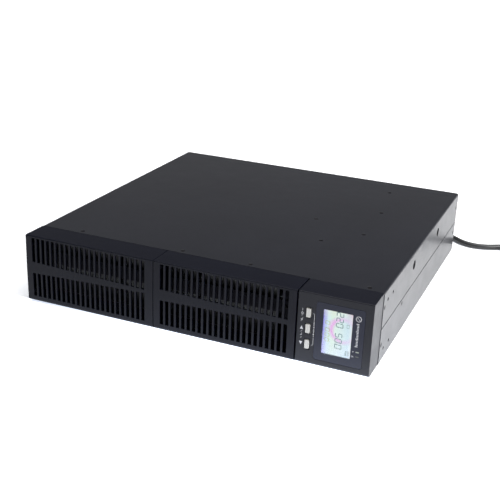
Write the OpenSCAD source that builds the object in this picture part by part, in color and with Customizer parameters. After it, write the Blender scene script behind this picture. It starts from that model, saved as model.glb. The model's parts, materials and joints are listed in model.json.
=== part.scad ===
// Rack or tower uninterruptible power supply, two rack units high.
// X runs along the front, Y from the bezel to the rear panel and Z up.
// The origin is the middle of the footprint, on the standing face.

/* [Case] */
// Width over the steel side walls
case_w = 438; // [434:1:442]
// Height from the standing face to the top of the cover
case_h = 88; // [87:0.5:90]
// Depth of the steel case from the bezel joint to the rear panel
case_d = 399; // [397:1:410]
// Thickness of the sheet steel
sheet_t = 1.2; // [1:0.1:1.4]
// Bend radius of the sheet steel on its outside
bend_r = 2.5; // [2:0.1:3]
// Height of the seam between the top cover and the base tray
seam_z = 45; // [44:0.5:46]
// How far the rear fittings stand out behind the rear panel
rear_proud = 4; // [4:0.5:6]

/* [Bezel] */
// Depth of the bezel at its proudest line
bezel_d = 37; // [35:0.5:42]
// How far the bezel's ends stand inside the case's side walls
bezel_inset = 0.5; // [0:0.1:1]
// Height of the bezel's lower edge above the standing face
bezel_z0 = 1.8; // [1:0.1:2.5]
// How far the grille faces fall back from the proud line to their edges
crown = 0.5; // [0.3:0.1:3]
// Wall thickness of the bezel mouldings
wall = 2.5; // [2:0.1:3]
// X of the seam between the two grilles
grille_split_x = -43.7; // [-46:0.1:-42]
// X of the gap between the middle grille and the control panel
panel_split_x = 132.9; // [132:0.1:134]
// Slots in each row of a grille
slots_per_row = 23; // [12:1:25]
// Share of the slot pitch that is open
slot_open = 0.63; // [0.4:0.01:0.7]

/* [Control panel] */
// Width of the display lens
lens_w = 55; // [50:1:57]
// Height of the display lens
lens_h = 69; // [64:1:70]
// Travel of a push button
button_travel = 1.2; // [0.8:0.1:1.2]
// Spacing of the push buttons
button_pitch = 18.8; // [18:0.1:19.5]

/* [Rear fittings] */
// Side of the square cooling fans
fan_size = 80; // [80]
// Depth of the cooling fans
fan_depth = 25; // [20:1:26]
// Travel of the circuit breaker's button when it trips
breaker_travel = 4; // [3:0.5:4]
// Diameter of the power cord
cord_d = 8; // [7:0.1:8]

/* [Hidden] */
$fn = 48;

steel = [0.16, 0.17, 0.19];
plastic = [0.12, 0.12, 0.13];
zinc = [0.72, 0.73, 0.74];
board_green = [0.10, 0.33, 0.20];

y_front = -(bezel_d + case_d + rear_proud) / 2;
y_join = y_front + bezel_d;
y_rear = y_join + case_d;
side_x = case_w / 2;
fit_gap = 0.2;
inner_x = side_x - sheet_t;
bezel_x = side_x - bezel_inset;
bezel_y1 = y_join - 0.5;
bezel_mid_z = 46.5;
panel_face_y = y_front + 1;
lip_z0 = 35;
lip_z1 = 59;
flange_depth = 14;

// Half of the gap between the two grilles, and beside the control panel
grille_gap = 0.4;
panel_gap = 0.9;
left_x0 = -bezel_x;
left_x1 = grille_split_x - grille_gap;
mid_x0 = grille_split_x + grille_gap;
mid_x1 = panel_split_x - panel_gap;
panel_x0 = panel_split_x + panel_gap;
panel_x1 = bezel_x;

// Places of the posts that hold the grilles, as X and height
post_in = 6.5;
post_r = 2.5;
grille_posts = [[left_x0 + post_in, 14], [left_x0 + post_in, 76], [left_x1 - post_in, 80],
    [mid_x0 + post_in, 80], [mid_x1 - post_in, 14], [mid_x1 - post_in, 76]];

// Screw places on a side wall, as distance behind the bezel joint and height
side_screw_places = [[5, 69], [5, 23.5], [90, 39.6], [389, 69], [389, 31.5]];
// Screw places on the top, as X and distance behind the bezel joint
top_screw_places = [[73, 192], [105, 119], [146, 165], [143, 258], [129, 351]];
// Screw places along the front edge of the top, into the bulkhead's flange
front_screw_places = [for (x = [-165, -27.5, 59, 200]) [x, 6.5]];
// Rack ear holes on a side wall, as distance behind the bezel joint and height
ear_hole_places = [for (y = [17, 39], z = [14.5, 74.5]) [y, z]];
ear_hole_r = 2.1;
plug_hole_places = [[138, 71], [268, 71]];
plug_hole_r = 6;

// Battery blocks lie on their sides in one row
battery_size = [94, 151, 65];
battery_x0 = -207;
battery_step = 103;
battery_y0 = y_join + 7;
battery_z0 = 3;
window_x0 = -205;
window_x1 = 102;
terminal_ys = [battery_y0 + 14, battery_y0 + 137];
terminal_z = battery_z0 + 50;
strap_screw_xs = [-209, 107];
strap_z = 48;
strap_t = 1.5;

button_x = 146.4;
button_mid_z = 45.2;
button_heights = [for (i = [1, 0, -1]) button_mid_z + i * button_pitch];
lens_mid_x = 182;
lens_mid_z = 44.8;
led_x = 203.6;
led_heights = [29.5, 24];
switch_face_y = y_front + 10.2;
control_board_y = y_front + 12;

board_z = 9.5;
board_t = 1.6;
board_top = board_z + board_t;
standoff_places = [for (x = [-198, 0, 198], y = [0, 174]) [x, y]];
heatsink_xs = [-150, -60];
choke_x = 20;
choke_y = 130;
charger_z = 76;

fan_centres = [-120, -33];
fan_z = 44;
fan_y1 = y_rear - sheet_t;
fan_y0 = fan_y1 - fan_depth;
fan_bore_r = fan_size / 2 - 2;
fan_hole_off = fan_size / 2 - 4.25;

outlet_mid_x = 72;
outlet_heights = [62, 26];
outlet_pitch = 34;
breaker_x = 158;
breaker_z = 62;
port_x = -190;
signal_z = 68;
usb_z = 47;
emergency_z = 30.5;
slot_cover_z = 13;
slot_cover_t = 1.2;
slot_screw_xs = [port_x - 20, port_x + 20];
socket_x = 190;
socket_z = 58;

bushing_x = 140;
bushing_z = 24;
bushing_len = 24;
coil_x = 352;
coil_y = 232;
coil_outer_r = 56;
coil_inner_r = 32;
plug_x = 401;
plug_y = 160;
plug_r = 18.5;

// Route of the cord from the bushing to the coil
cord_route = [[140, 240, 24], [140, 250, 22.5], [144.5, 267, 18], [157, 279.5, 12.5],
    [174, 284, 8], [191, 279.5, 5], [201, 271, 4.1], [209, 262.5, 4], [217, 255, 4],
    [227, 247.5, 4], [238, 242.5, 4], [250, 241, 4], [262, 243.5, 4], [273, 248.5, 4],
    [284, 255, 4], [294, 260.5, 4], [302, 265, 4]];
// Route of the cord from the coil to the plug
tail_route = [[404, 203, 12.2], [403.8, 192, 13], [403, 182, 14.6], [402, 171, 16.6],
    [401, 160, 18.5]];

// ---- shared shapes ----

module box(x0, x1, y0, y1, z0, z1) {
    translate([x0, y0, z0]) cube([x1 - x0, y1 - y0, z1 - z0]);
}

module rod_x(x0, x1, y, z, r) {
    translate([x0, y, z]) rotate([0, 90, 0]) cylinder(r = r, h = x1 - x0);
}

module rod_y(x, y0, y1, z, r, r_end = 0) {
    translate([x, y0, z]) rotate([-90, 0, 0])
        cylinder(r1 = r, r2 = r_end > 0 ? r_end : r, h = y1 - y0);
}

module rod_z(x, y, z0, z1, r) {
    translate([x, y, z0]) cylinder(r = r, h = z1 - z0);
}

// Extrudes an outline drawn in X and Z along Y
module along_y(y0, y1) {
    translate([0, y1, 0]) rotate([90, 0, 0]) linear_extrude(y1 - y0) children();
}

// Extrudes an outline drawn in Y and Z along X
module along_x(x0, x1) {
    translate([x0, 0, 0]) rotate([90, 0, 90]) linear_extrude(x1 - x0) children();
}

module rounded_rect(x0, x1, z0, z1, r) {
    translate([x0 + r, z0]) square([x1 - x0 - 2 * r, z1 - z0]);
    translate([x0, z0 + r]) square([x1 - x0, z1 - z0 - 2 * r]);
    for (x = [x0 + r, x1 - r], z = [z0 + r, z1 - r])
        translate([x, z]) circle(r);
}

module both_sides() {
    children();
    mirror([1, 0, 0]) children();
}

// Puts a fastener drawn along +Z onto the right side wall
module on_side(place) {
    translate([side_x, y_join + place[0], place[1]]) rotate([0, 90, 0]) children();
}

module on_top(place) {
    translate([place[0], y_join + place[1], case_h]) children();
}

module on_rear(x, z, y = y_rear) {
    translate([x, y, z]) rotate([-90, 0, 0]) children();
}

// Openings through the rear panel
module rear_window(x, z, w, h) {
    box(x - w / 2, x + w / 2, y_rear - 2, y_rear + 1, z - h / 2, z + h / 2);
}

module rear_hole(x, z, r) {
    rod_y(x, y_rear - 2, y_rear + 1, z, r);
}

module countersunk_shape(head_r, shank_r, length) {
    translate([0, 0, -sheet_t]) cylinder(r1 = shank_r, r2 = head_r, h = sheet_t);
    translate([0, 0, -length]) cylinder(r = shank_r, h = length - sheet_t);
}

module countersunk_screw() {
    difference() {
        countersunk_shape(2.9, 1.5, 8);
        for (turn = [0, 90])
            rotate(turn) translate([-1.6, -0.3, -0.9]) cube([3.2, 0.6, 1]);
    }
}

module countersunk_hole() {
    countersunk_shape(2.9, 1.5, 9);
}

module pan_screw(head_r, head_h, shank_r, length) {
    difference() {
        union() {
            cylinder(r = head_r, h = head_h);
            translate([0, 0, -length]) cylinder(r = shank_r, h = length);
        }
        for (turn = [0, 90])
            rotate(turn) translate([-head_r * 0.6, -0.4, head_h - 1]) cube([head_r * 1.2, 0.8, 2]);
    }
}

function arc(cy, cz, r, a0, a1, steps) =
    [for (i = [0:steps]) let (a = a0 + (a1 - a0) * i / steps) [cy + r * cos(a), cz + r * sin(a)]];

// ---- steel case ----

module case_skin() {
    difference() {
        rounded_rect(-side_x, side_x, 0, case_h, bend_r);
        rounded_rect(-inner_x, inner_x, sheet_t, case_h - sheet_t, bend_r - sheet_t + 0.2);
    }
}

module side_cuts() {
    both_sides() {
        for (place = side_screw_places)
            on_side(place) countersunk_hole();
        for (place = ear_hole_places)
            on_side(place) translate([0, 0, -6]) cylinder(r = ear_hole_r, h = 8);
        for (place = plug_hole_places)
            on_side(place) translate([0, 0, -3]) cylinder(r = plug_hole_r, h = 4);
    }
}

module base_tray() {
    color(steel) difference() {
        union() {
            along_y(y_join, y_rear) intersection() {
                case_skin();
                translate([-case_w, -1]) square([2 * case_w, seam_z + 0.7]);
            }
            both_sides()
                box(inner_x - sheet_t, inner_x, y_join + 2, y_rear - sheet_t - fit_gap, lip_z0, lip_z1);
        }
        side_cuts();
    }
}

module top_cover() {
    color(steel) difference() {
        along_y(y_join, y_rear) intersection() {
            case_skin();
            translate([-case_w, seam_z]) square([2 * case_w, case_h]);
        }
        side_cuts();
        for (place = concat(top_screw_places, front_screw_places))
            on_top(place) countersunk_hole();
    }
}

// An upright sheet across the case, with a flange along each side wall
module panel_sheet(y0, flange_y0) {
    flange_x = inner_x - sheet_t - fit_gap;
    along_y(y0, y0 + sheet_t)
        rounded_rect(-inner_x + fit_gap, inner_x - fit_gap, sheet_t, case_h - sheet_t - fit_gap, 2);
    both_sides()
        box(flange_x - sheet_t, flange_x, flange_y0, flange_y0 + flange_depth, 4, case_h - 4);
}

module front_bulkhead() {
    top_z = case_h - sheet_t - fit_gap;
    color(steel) difference() {
        union() {
            panel_sheet(y_join, y_join);
            box(-inner_x + 3, inner_x - 3, y_join, y_join + flange_depth, top_z - sheet_t, top_z);
        }
        side_cuts();
        for (place = front_screw_places)
            on_top(place) countersunk_hole();
        box(window_x0, window_x1, y_join - 1, y_join + 2, 2.5, 71);
        box(150, 206, y_join - 1, y_join + 2, 22, 62);
        for (post = grille_posts) {
            rod_y(post[0], y_join - 1, y_join + 2, post[1], post_r + 0.4);
            rod_y(post[0], y_join + sheet_t, y_join + 6, post[1], 5);
        }
        for (x = strap_screw_xs)
            rod_y(x, y_join - 1, y_join + 2, strap_z, 1.6);
    }
}

module rear_panel() {
    color(steel) difference() {
        panel_sheet(y_rear - sheet_t, y_rear - flange_depth);
        side_cuts();
        for (x = fan_centres) {
            rear_hole(x, fan_z, fan_bore_r);
            for (dx = [-1, 1], dz = [-1, 1])
                rear_hole(x + dx * fan_hole_off, fan_z + dz * fan_hole_off, 2.1);
        }
        for (z = outlet_heights)
            rear_window(outlet_mid_x, z, 98, 24);
        rear_hole(breaker_x, breaker_z, 6.1);
        rear_hole(bushing_x, bushing_z, 7.1);
        rear_window(port_x, signal_z, 18, 9.2);
        rear_window(port_x, usb_z, 12, 11);
        rear_window(port_x, emergency_z, 12, 9);
        rear_window(port_x, slot_cover_z, 34, 13);
        rear_window(socket_x, socket_z, 28, 16);
        for (x = slot_screw_xs)
            rear_hole(x, slot_cover_z, 1.6);
    }
}

module case_screws() {
    color(zinc) {
        both_sides() for (place = side_screw_places)
            on_side(place) countersunk_screw();
        for (place = concat(top_screw_places, front_screw_places))
            on_top(place) countersunk_screw();
        for (x = slot_screw_xs)
            on_rear(x, slot_cover_z, y_rear + slot_cover_t) pan_screw(2.8, 1.8, 1.5, 8);
        for (x = strap_screw_xs)
            translate([x, y_join - strap_t, strap_z]) rotate([90, 0, 0]) pan_screw(2.8, 1.8, 1.5, 8);
    }
}

module side_hole_plugs() {
    color(plastic) both_sides() for (place = plug_hole_places)
        on_side(place) difference() {
            translate([0, 0, -4]) cylinder(r = plug_hole_r, h = 3.2);
            translate([0, 0, -5]) cylinder(r = plug_hole_r - 1.5, h = 3);
        }
}

// ---- bezel ----

// Side outline of a bezel moulding; inset draws the hollow inside it
module bezel_outline(face_y, fall, inset) {
    z0 = bezel_z0 + inset;
    z1 = case_h - inset;
    y_edge = face_y + fall + inset * 1.4;
    low_r = 4 - inset;
    top_r = 1.2 - inset;
    polygon(concat(
        [[bezel_y1 + (inset > 0 ? 1 : 0), z0]],
        inset > 0 ? [[y_edge, z0]] : arc(y_edge + low_r, z0 + low_r, low_r, 270, 180, 6),
        fall > 0 ? [[face_y + inset * 1.4, bezel_mid_z]] : [],
        inset > 0 ? [[y_edge, z1]] : arc(y_edge + top_r, z1 - top_r, top_r, 180, 90, 5),
        [[bezel_y1 + (inset > 0 ? 1 : 0), z1]]));
}

module bezel_shell(x0, x1, face_y, fall) {
    difference() {
        along_x(x0, x1) bezel_outline(face_y, fall, 0);
        along_x(x0 + wall, x1 - wall) bezel_outline(face_y, fall, wall);
    }
}

function between(t, a, b) = a + (b - a) * t;

// One row of slots; low and high give the slot ends' heights at the left and the right end
module slot_row(x0, x1, low, high) {
    pitch = (x1 - x0) / (slots_per_row - 1 + slot_open);
    width = pitch * slot_open;
    for (i = [0:slots_per_row - 1]) {
        xa = x0 + i * pitch;
        ta = i / (slots_per_row - 1);
        polygon([[xa, between(ta, low[0], low[1])], [xa + width, between(ta, low[0], low[1])],
            [xa + width, between(ta, high[0], high[1])], [xa, between(ta, high[0], high[1])]]);
    }
}

module grille(x0, x1, slot_x0, slot_x1, upper_low, upper_high, lower_low, lower_high, posts) {
    color(plastic) {
        difference() {
            bezel_shell(x0, x1, y_front, crown);
            along_y(y_front - 1, y_front + 9) {
                slot_row(slot_x0, slot_x1, upper_low, upper_high);
                slot_row(slot_x0, slot_x1, lower_low, lower_high);
            }
            box(grille_split_x - 4, grille_split_x + 4, y_join - 4, y_join, strap_z - 11, strap_z + 11);
        }
        for (post = posts) {
            rod_y(post[0], y_front + 3, y_join + 6, post[1], post_r);
            rod_y(post[0], y_join + 6, y_join + 8, post[1], post_r, 1.5);
        }
    }
}

module left_grille() {
    grille(left_x0, left_x1, -210, -55, [54.2, 49.4], [85, 85], [9.3, 9.3], [39.6, 45],
        [grille_posts[0], grille_posts[1], grille_posts[2]]);
}

module middle_grille() {
    grille(mid_x0, mid_x1, -34.8, 123, [53.9, 50.6], [85, 85], [9.8, 9.8], [40.4, 44.6],
        [grille_posts[3], grille_posts[4], grille_posts[5]]);
}

module grille_clips() {
    color(plastic) for (post = grille_posts)
        difference() {
            rod_y(post[0], y_join + sheet_t, y_join + 5, post[1], 4.6);
            rod_y(post[0], y_join, y_join + 6, post[1], post_r + 0.5);
        }
}

module control_panel() {
    color(plastic) {
        difference() {
            bezel_shell(panel_x0, panel_x1, panel_face_y, 0);
            along_y(panel_face_y - 1, panel_face_y + 1.6) lens_outline(0.15);
            along_y(panel_face_y, panel_face_y + 6)
                rounded_rect(lens_mid_x - 20, lens_mid_x + 15.5, 18, 74, 1);
            for (z = button_heights)
                along_y(panel_face_y - 1, panel_face_y + 6)
                    rounded_rect(button_x - 3.3, button_x + 3.3, z - 6.3, z + 6.3, 1.1);
            for (z = led_heights)
                rod_y(led_x, panel_face_y, panel_face_y + 6, z, 1.1);
        }
        for (x = [142, 210], z = [10, 80])
            rod_y(x, panel_face_y + 3, control_board_y, z, 3);
    }
}

module lens_outline(margin) {
    w = lens_w / 2 + margin;
    h = lens_h / 2 + margin;
    rounded_rect(lens_mid_x - w, lens_mid_x + w, lens_mid_z - h, lens_mid_z + h, 4);
}

module display_lens() {
    color([0.05, 0.06, 0.07, 0.6])
        along_y(panel_face_y, panel_face_y + 1.6) lens_outline(0);
}

module display_module() {
    color([0.75, 0.85, 0.85]) {
        box(lens_mid_x - 22, lens_mid_x + 17.5, panel_face_y + 3.5, panel_face_y + 8.5, 16, 76);
        box(lens_mid_x - 19.7, lens_mid_x + 15.2, panel_face_y + 1.8, panel_face_y + 3.5, 18.3, 73.7);
    }
}

module push_button(z) {
    color([0.92, 0.93, 0.94]) {
        along_y(y_front, panel_face_y + 3.6)
            rounded_rect(button_x - 2.5, button_x + 2.5, z - 5.2, z + 5.2, 0.8);
        box(button_x - 4, button_x + 4, panel_face_y + 3.6, panel_face_y + 4.8, z - 7, z + 7);
        rod_y(button_x, panel_face_y + 4.8, switch_face_y - button_travel - 0.2, z, 1.5);
    }
}

module power_button() {
    push_button(button_heights[0]);
}

module up_button() {
    push_button(button_heights[1]);
}

module down_button() {
    push_button(button_heights[2]);
}

module light_pipes() {
    color([0.9, 0.95, 0.9]) for (z = led_heights)
        rod_y(led_x, panel_face_y + 1.6, control_board_y, z, 1.1);
}

module control_board() {
    color(board_green) {
        box(138, 213, control_board_y, control_board_y + board_t, 6, 84);
        for (z = button_heights)
            box(button_x - 3, button_x + 3, switch_face_y, control_board_y, z - 3, z + 3);
        box(168, 192, control_board_y + board_t, control_board_y + 8, 37, 44);
    }
}

module ribbon_cable() {
    start_y = control_board_y + 8;
    color([0.75, 0.75, 0.78]) along_x(172, 188) {
        translate([start_y, 40]) square([-60 - start_y, 0.9]);
        polygon([[-60, 40], [-20, 20], [-20, 20.9], [-60, 40.9]]);
        translate([-20, 20]) square([20, 0.9]);
    }
}

// ---- battery bay ----

function battery_x(i) = battery_x0 + i * battery_step;

module battery(i) {
    color([0.22, 0.23, 0.25])
        translate([battery_x(i), battery_y0, battery_z0]) cube(battery_size);
}

module battery_left() {
    battery(0);
}

module battery_middle() {
    battery(1);
}

module battery_right() {
    battery(2);
}

module battery_terminals() {
    color(zinc) for (i = [0:2], y = terminal_ys)
        box(battery_x(i) + battery_size[0], battery_x(i) + battery_size[0] + 3, y - 3.2, y + 3.2,
            terminal_z - 3, terminal_z + 3);
}

// A bent wire through points, each joint closed by a ball
module wire(points, r) {
    for (i = [0:len(points) - 2]) {
        run = points[i + 1] - points[i];
        length = norm(run);
        translate(points[i]) {
            rotate([0, acos(run[2] / length), atan2(run[1], run[0])]) cylinder(r = r, h = length);
            sphere(r);
        }
    }
    translate(points[len(points) - 1]) sphere(r);
}

module battery_leads() {
    top_z = battery_z0 + battery_size[2] + 4;
    gap_x = battery_size[0] + 6;
    color([0.6, 0.1, 0.1]) for (i = [0:1])
        wire([[battery_x(i) + gap_x, terminal_ys[1], terminal_z],
            [battery_x(i) + gap_x, terminal_ys[1], top_z],
            [battery_x(i) + gap_x, terminal_ys[0], top_z],
            [battery_x(i + 1) + gap_x, terminal_ys[0], top_z],
            [battery_x(i + 1) + gap_x, terminal_ys[0], terminal_z]], 2);
}

module battery_tray() {
    x0 = battery_x0 - 1.2;
    x1 = battery_x(2) + battery_size[0] + 8.6;
    y0 = battery_y0 - 2;
    y1 = battery_y0 + battery_size[1] + 3;
    color(zinc) {
        box(x0, x1, y0, y1, 2, battery_z0);
        box(x0, x0 + 1, y0, y1, battery_z0, 30);
        box(x1 - 1, x1, y0, y1, battery_z0, 30);
        box(x0, x1, y1 - 1, y1, battery_z0, 30);
    }
}

module battery_strap() {
    color(steel) difference() {
        box(-213, 111, y_join - strap_t, y_join, strap_z - 8, strap_z + 8);
        for (x = strap_screw_xs)
            rod_y(x, y_join - 2, y_join + 1, strap_z, 1.6);
    }
}

module bay_divider() {
    wall_x = 103;
    wall_y = battery_y0 + battery_size[1] + 6;
    color(steel) difference() {
        union() {
            box(-214, wall_x + sheet_t, wall_y, wall_y + sheet_t, sheet_t, case_h - 3);
            box(wall_x, wall_x + sheet_t, y_join + 6, wall_y + sheet_t, sheet_t, case_h - 3);
        }
        box(30, 66, wall_y - 1, wall_y + 2, 70, case_h);
        box(wall_x - 1, wall_x + 2, y_join + 110, wall_y + 2, charger_z - 3, case_h);
        box(60, wall_x + 2, wall_y - 1, wall_y + 2, charger_z - 3, case_h);
    }
}

// ---- electronics ----

module main_board() {
    color(board_green) {
        box(-205, 205, -8, 182, board_z, board_top);
        box(170, 190, -6, 4, board_top, 20);
    }
}

module board_standoffs() {
    color(zinc) for (place = standoff_places)
        rod_z(place[0], place[1], sheet_t, board_z, 3);
}

module heatsink(x0) {
    fin_count = 9;
    fin_step = 6.4;
    color([0.7, 0.71, 0.73]) along_y(30, 170) {
        translate([x0, board_top]) square([5, 55]);
        for (i = [0:fin_count - 1])
            translate([x0 + 4, board_top + i * fin_step]) square([34, 2]);
    }
}

module heatsink_left() {
    heatsink(heatsink_xs[0]);
}

module heatsink_right() {
    heatsink(heatsink_xs[1]);
}

module power_transistors() {
    color([0.08, 0.08, 0.09]) for (x = heatsink_xs, y = [42:30:132])
        box(x - 5, x, y, y + 16, board_top, 36);
}

module bus_capacitors() {
    color([0.15, 0.18, 0.35]) for (x = [5, 40], y = [35, 70])
        rod_z(x, y, board_top, 61, 15);
}

module ring(r0, r1, z0, z1) {
    translate([choke_x, choke_y, 0]) rotate_extrude() translate([r0, z0]) square([r1 - r0, z1 - z0]);
}

module choke_core() {
    color([0.75, 0.7, 0.35]) ring(13, 27, 15, 37);
}

module choke_winding() {
    color([0.72, 0.38, 0.18]) difference() {
        ring(9.5, 30.5, board_top, 40.5);
        ring(13, 27, 15, 37);
        box(choke_x - 8, choke_x + 8, choke_y, choke_y + 40, 0, 50);
    }
}

module transformer_core() {
    color([0.25, 0.25, 0.26]) difference() {
        box(85, 135, 22, 58, board_top, 58);
        for (x = [93, 115])
            box(x, x + 12, 20, 60, 20, 49);
    }
}

module transformer_winding() {
    color([0.8, 0.7, 0.2]) difference() {
        box(93, 127, 12, 68, 20, 49);
        box(105, 115, 22, 58, 19, 50);
    }
}

module relays() {
    color([0.1, 0.25, 0.6]) for (y = [30:18:84])
        box(160, 189, y, y + 13, board_top, 27);
}

module charger_board() {
    color(board_green) {
        box(66, 153, y_join + 112, y_join + 358, charger_z, charger_z + board_t);
        for (y = [20, 60, 100])
            box(80, 112, y, y + 22, charger_z - 12, charger_z);
    }
}

module charger_standoffs() {
    color(zinc) difference() {
        for (place = top_screw_places)
            rod_z(place[0], y_join + place[1], charger_z + board_t, case_h - sheet_t, 3.5);
        for (place = top_screw_places)
            on_top(place) countersunk_hole();
    }
}

// ---- rear fittings ----

module fan_frame(x) {
    half = fan_size / 2;
    hub_y0 = fan_y1 - 4;
    color(plastic) difference() {
        union() {
            difference() {
                along_y(fan_y0, fan_y1)
                    rounded_rect(x - half, x + half, fan_z - half, fan_z + half, 3);
                rod_y(x, fan_y0 - 1, fan_y1 + 1, fan_z, fan_bore_r);
            }
            rod_y(x, hub_y0, fan_y1, fan_z, 17);
            intersection() {
                for (turn = [0:90:270])
                    translate([x, 0, fan_z]) rotate([0, turn + 20, 0]) box(15, 39, hub_y0, fan_y1, -2, 2);
                rod_y(x, hub_y0, fan_y1, fan_z, fan_bore_r + 0.5);
            }
        }
        rod_y(x, hub_y0 - 1, fan_y1 - 0.6, fan_z, 1.8);
        for (dx = [-1, 1], dz = [-1, 1])
            rod_y(x + dx * fan_hole_off, fan_y0 - 1, fan_y1 + 1, fan_z + dz * fan_hole_off, 2.1);
    }
}

module fan_frame_left() {
    fan_frame(fan_centres[0]);
}

module fan_frame_right() {
    fan_frame(fan_centres[1]);
}

module fan_rotor(x) {
    rotor_y0 = fan_y0 + 1.5;
    rotor_y1 = fan_y1 - 5;
    blade_y = (rotor_y0 + rotor_y1) / 2;
    color(plastic) {
        rod_y(x, rotor_y0, rotor_y1, fan_z, 16.5);
        rod_y(x, rotor_y1, rotor_y1 + 4, fan_z, 1.5);
        intersection() {
            for (turn = [0:360 / 7:359])
                translate([x, blade_y, fan_z]) rotate([0, turn, 0]) rotate([52, 0, 0])
                    box(14, 38, -12, 12, -0.7, 0.7);
            rod_y(x, rotor_y0, rotor_y1, fan_z, fan_bore_r - 1.6);
        }
    }
}

module fan_rotor_left() {
    fan_rotor(fan_centres[0]);
}

module fan_rotor_right() {
    fan_rotor(fan_centres[1]);
}

module fan_guard(x) {
    wire_r = 0.9;
    ear_h = 1.8;
    color(zinc) {
        on_rear(x, fan_z) for (r = [9:9.4:38])
            translate([0, 0, 2.9]) rotate_extrude() translate([r, 0]) circle(wire_r, $fn = 16);
        on_rear(x, fan_z) for (turn = [45:90:315])
            rotate(turn) translate([7, 0, 1.5]) rotate([0, 90, 0])
                cylinder(r = wire_r, h = fan_hole_off * sqrt(2) - 10.9, $fn = 16);
        for (dx = [-1, 1], dz = [-1, 1])
            on_rear(x + dx * fan_hole_off, fan_z + dz * fan_hole_off) difference() {
                cylinder(r = 4.2, h = ear_h);
                translate([0, 0, -1]) cylinder(r = 2.1, h = ear_h + 2);
            }
    }
}

module fan_guard_left() {
    fan_guard(fan_centres[0]);
}

module fan_guard_right() {
    fan_guard(fan_centres[1]);
}

module fan_screws() {
    color(zinc) for (x = fan_centres, dx = [-1, 1], dz = [-1, 1])
        on_rear(x + dx * fan_hole_off, fan_z + dz * fan_hole_off, y_rear + 1.8)
            pan_screw(3.6, rear_proud - 1.8, 1.9, 14);
}

// Six-sided outline of an appliance outlet, with two cut corners
module outlet_outline(w, h, cut) {
    polygon([[-w / 2, -h / 2], [w / 2, -h / 2], [w / 2, h / 2 - cut], [w / 2 - cut, h / 2],
        [-w / 2 + cut, h / 2], [-w / 2, h / 2 - cut]]);
}

module outlet_bank(z) {
    color(plastic) difference() {
        union() {
            along_y(y_rear, y_rear + 2)
                rounded_rect(outlet_mid_x - 52, outlet_mid_x + 52, z - 15, z + 15, 2);
            box(outlet_mid_x - 49, outlet_mid_x + 49, y_rear - 26, y_rear, z - 12, z + 12);
        }
        for (i = [-1, 0, 1])
            translate([outlet_mid_x + i * outlet_pitch, 0, z]) {
                along_y(y_rear - 16, y_rear + 3) difference() {
                    outlet_outline(25, 18, 5);
                    outlet_outline(20.4, 13, 4);
                }
                for (slot = [[-7, -1], [0, 2], [7, -1]])
                    box(slot[0] - 1.1, slot[0] + 1.1, y_rear - 14, y_rear + 3, slot[1] - 3, slot[1] + 3);
            }
    }
}

module upper_outlets() {
    outlet_bank(outlet_heights[0]);
}

module lower_outlets() {
    outlet_bank(outlet_heights[1]);
}

module breaker_body() {
    color(plastic) difference() {
        union() {
            box(breaker_x - 8, breaker_x + 8, y_rear - 28, y_rear - sheet_t, breaker_z - 8, breaker_z + 8);
            rod_y(breaker_x, y_rear - sheet_t, y_rear, breaker_z, 6);
            rod_y(breaker_x, y_rear, y_rear + 2.4, breaker_z, 7.5);
        }
        rod_y(breaker_x, y_rear - 12, y_rear + 5, breaker_z, 3.8);
    }
}

module breaker_button() {
    color([0.1, 0.1, 0.1]) rod_y(breaker_x, y_rear - 11.5, y_rear + 3.4, breaker_z, 3.5);
}

module signal_port() {
    z = signal_z;
    color(zinc) {
        box(port_x - 15.5, port_x + 15.5, y_rear - 11, y_rear - sheet_t, z - 6, z + 6);
        along_y(y_rear - sheet_t, y_rear + 3.4) translate([port_x, z]) difference() {
            polygon([[-9, 4.6], [9, 4.6], [7.6, -4.6], [-7.6, -4.6]]);
            polygon([[-8.1, 3.8], [8.1, 3.8], [6.8, -3.8], [-6.8, -3.8]]);
        }
        for (dx = [-12.5, 12.5])
            on_rear(port_x + dx, z) cylinder(r = 2.7, h = 3.4, $fn = 6);
    }
}

module usb_port() {
    z = usb_z;
    color(zinc) {
        difference() {
            box(port_x - 6, port_x + 6, y_rear - 16, y_rear + 0.6, z - 5.5, z + 5.5);
            box(port_x - 4.2, port_x + 4.2, y_rear - 10, y_rear + 2, z - 3.9, z + 3.9);
        }
        box(port_x - 2.8, port_x + 2.8, y_rear - 11, y_rear - 1, z - 1.6, z + 1.6);
    }
}

module emergency_off_terminal() {
    z = emergency_z;
    color([0.1, 0.5, 0.25]) difference() {
        box(port_x - 6, port_x + 6, y_rear - 12, y_rear + 2.6, z - 4.5, z + 4.5);
        for (dx = [-2.6, 2.6])
            rod_y(port_x + dx, y_rear - 6, y_rear + 4, z, 1.3);
    }
}

module card_slot_cover() {
    color(steel) difference() {
        along_y(y_rear, y_rear + slot_cover_t)
            rounded_rect(port_x - 24, port_x + 24, slot_cover_z - 9, slot_cover_z + 9, 1.5);
        for (x = slot_screw_xs)
            rod_y(x, y_rear - 1, y_rear + 2, slot_cover_z, 1.6);
    }
}

module battery_socket() {
    color([0.3, 0.3, 0.32]) {
        difference() {
            union() {
                along_y(y_rear, y_rear + 3)
                    rounded_rect(socket_x - 18, socket_x + 18, socket_z - 11, socket_z + 11, 2);
                box(socket_x - 14, socket_x + 14, y_rear - 20, y_rear, socket_z - 8, socket_z + 8);
            }
            for (x = [socket_x - 7, socket_x + 7])
                box(x - 5, x + 5, y_rear - 12, y_rear + 4, socket_z - 5, socket_z + 5);
        }
        for (x = [socket_x - 7, socket_x + 7])
            box(x - 2.2, x + 2.2, y_rear - 13, y_rear + 1, socket_z - 2.5, socket_z + 2.5);
    }
}

module cord_bushing() {
    color([0.07, 0.07, 0.07]) {
        rod_y(bushing_x, y_rear - 6, y_rear, bushing_z, 7);
        rod_y(bushing_x, y_rear, y_rear + 3, bushing_z, 9.4);
        rod_y(bushing_x, y_rear + 3, y_rear + bushing_len, bushing_z, 7.2, 5);
    }
}

// ---- power cord ----

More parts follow.
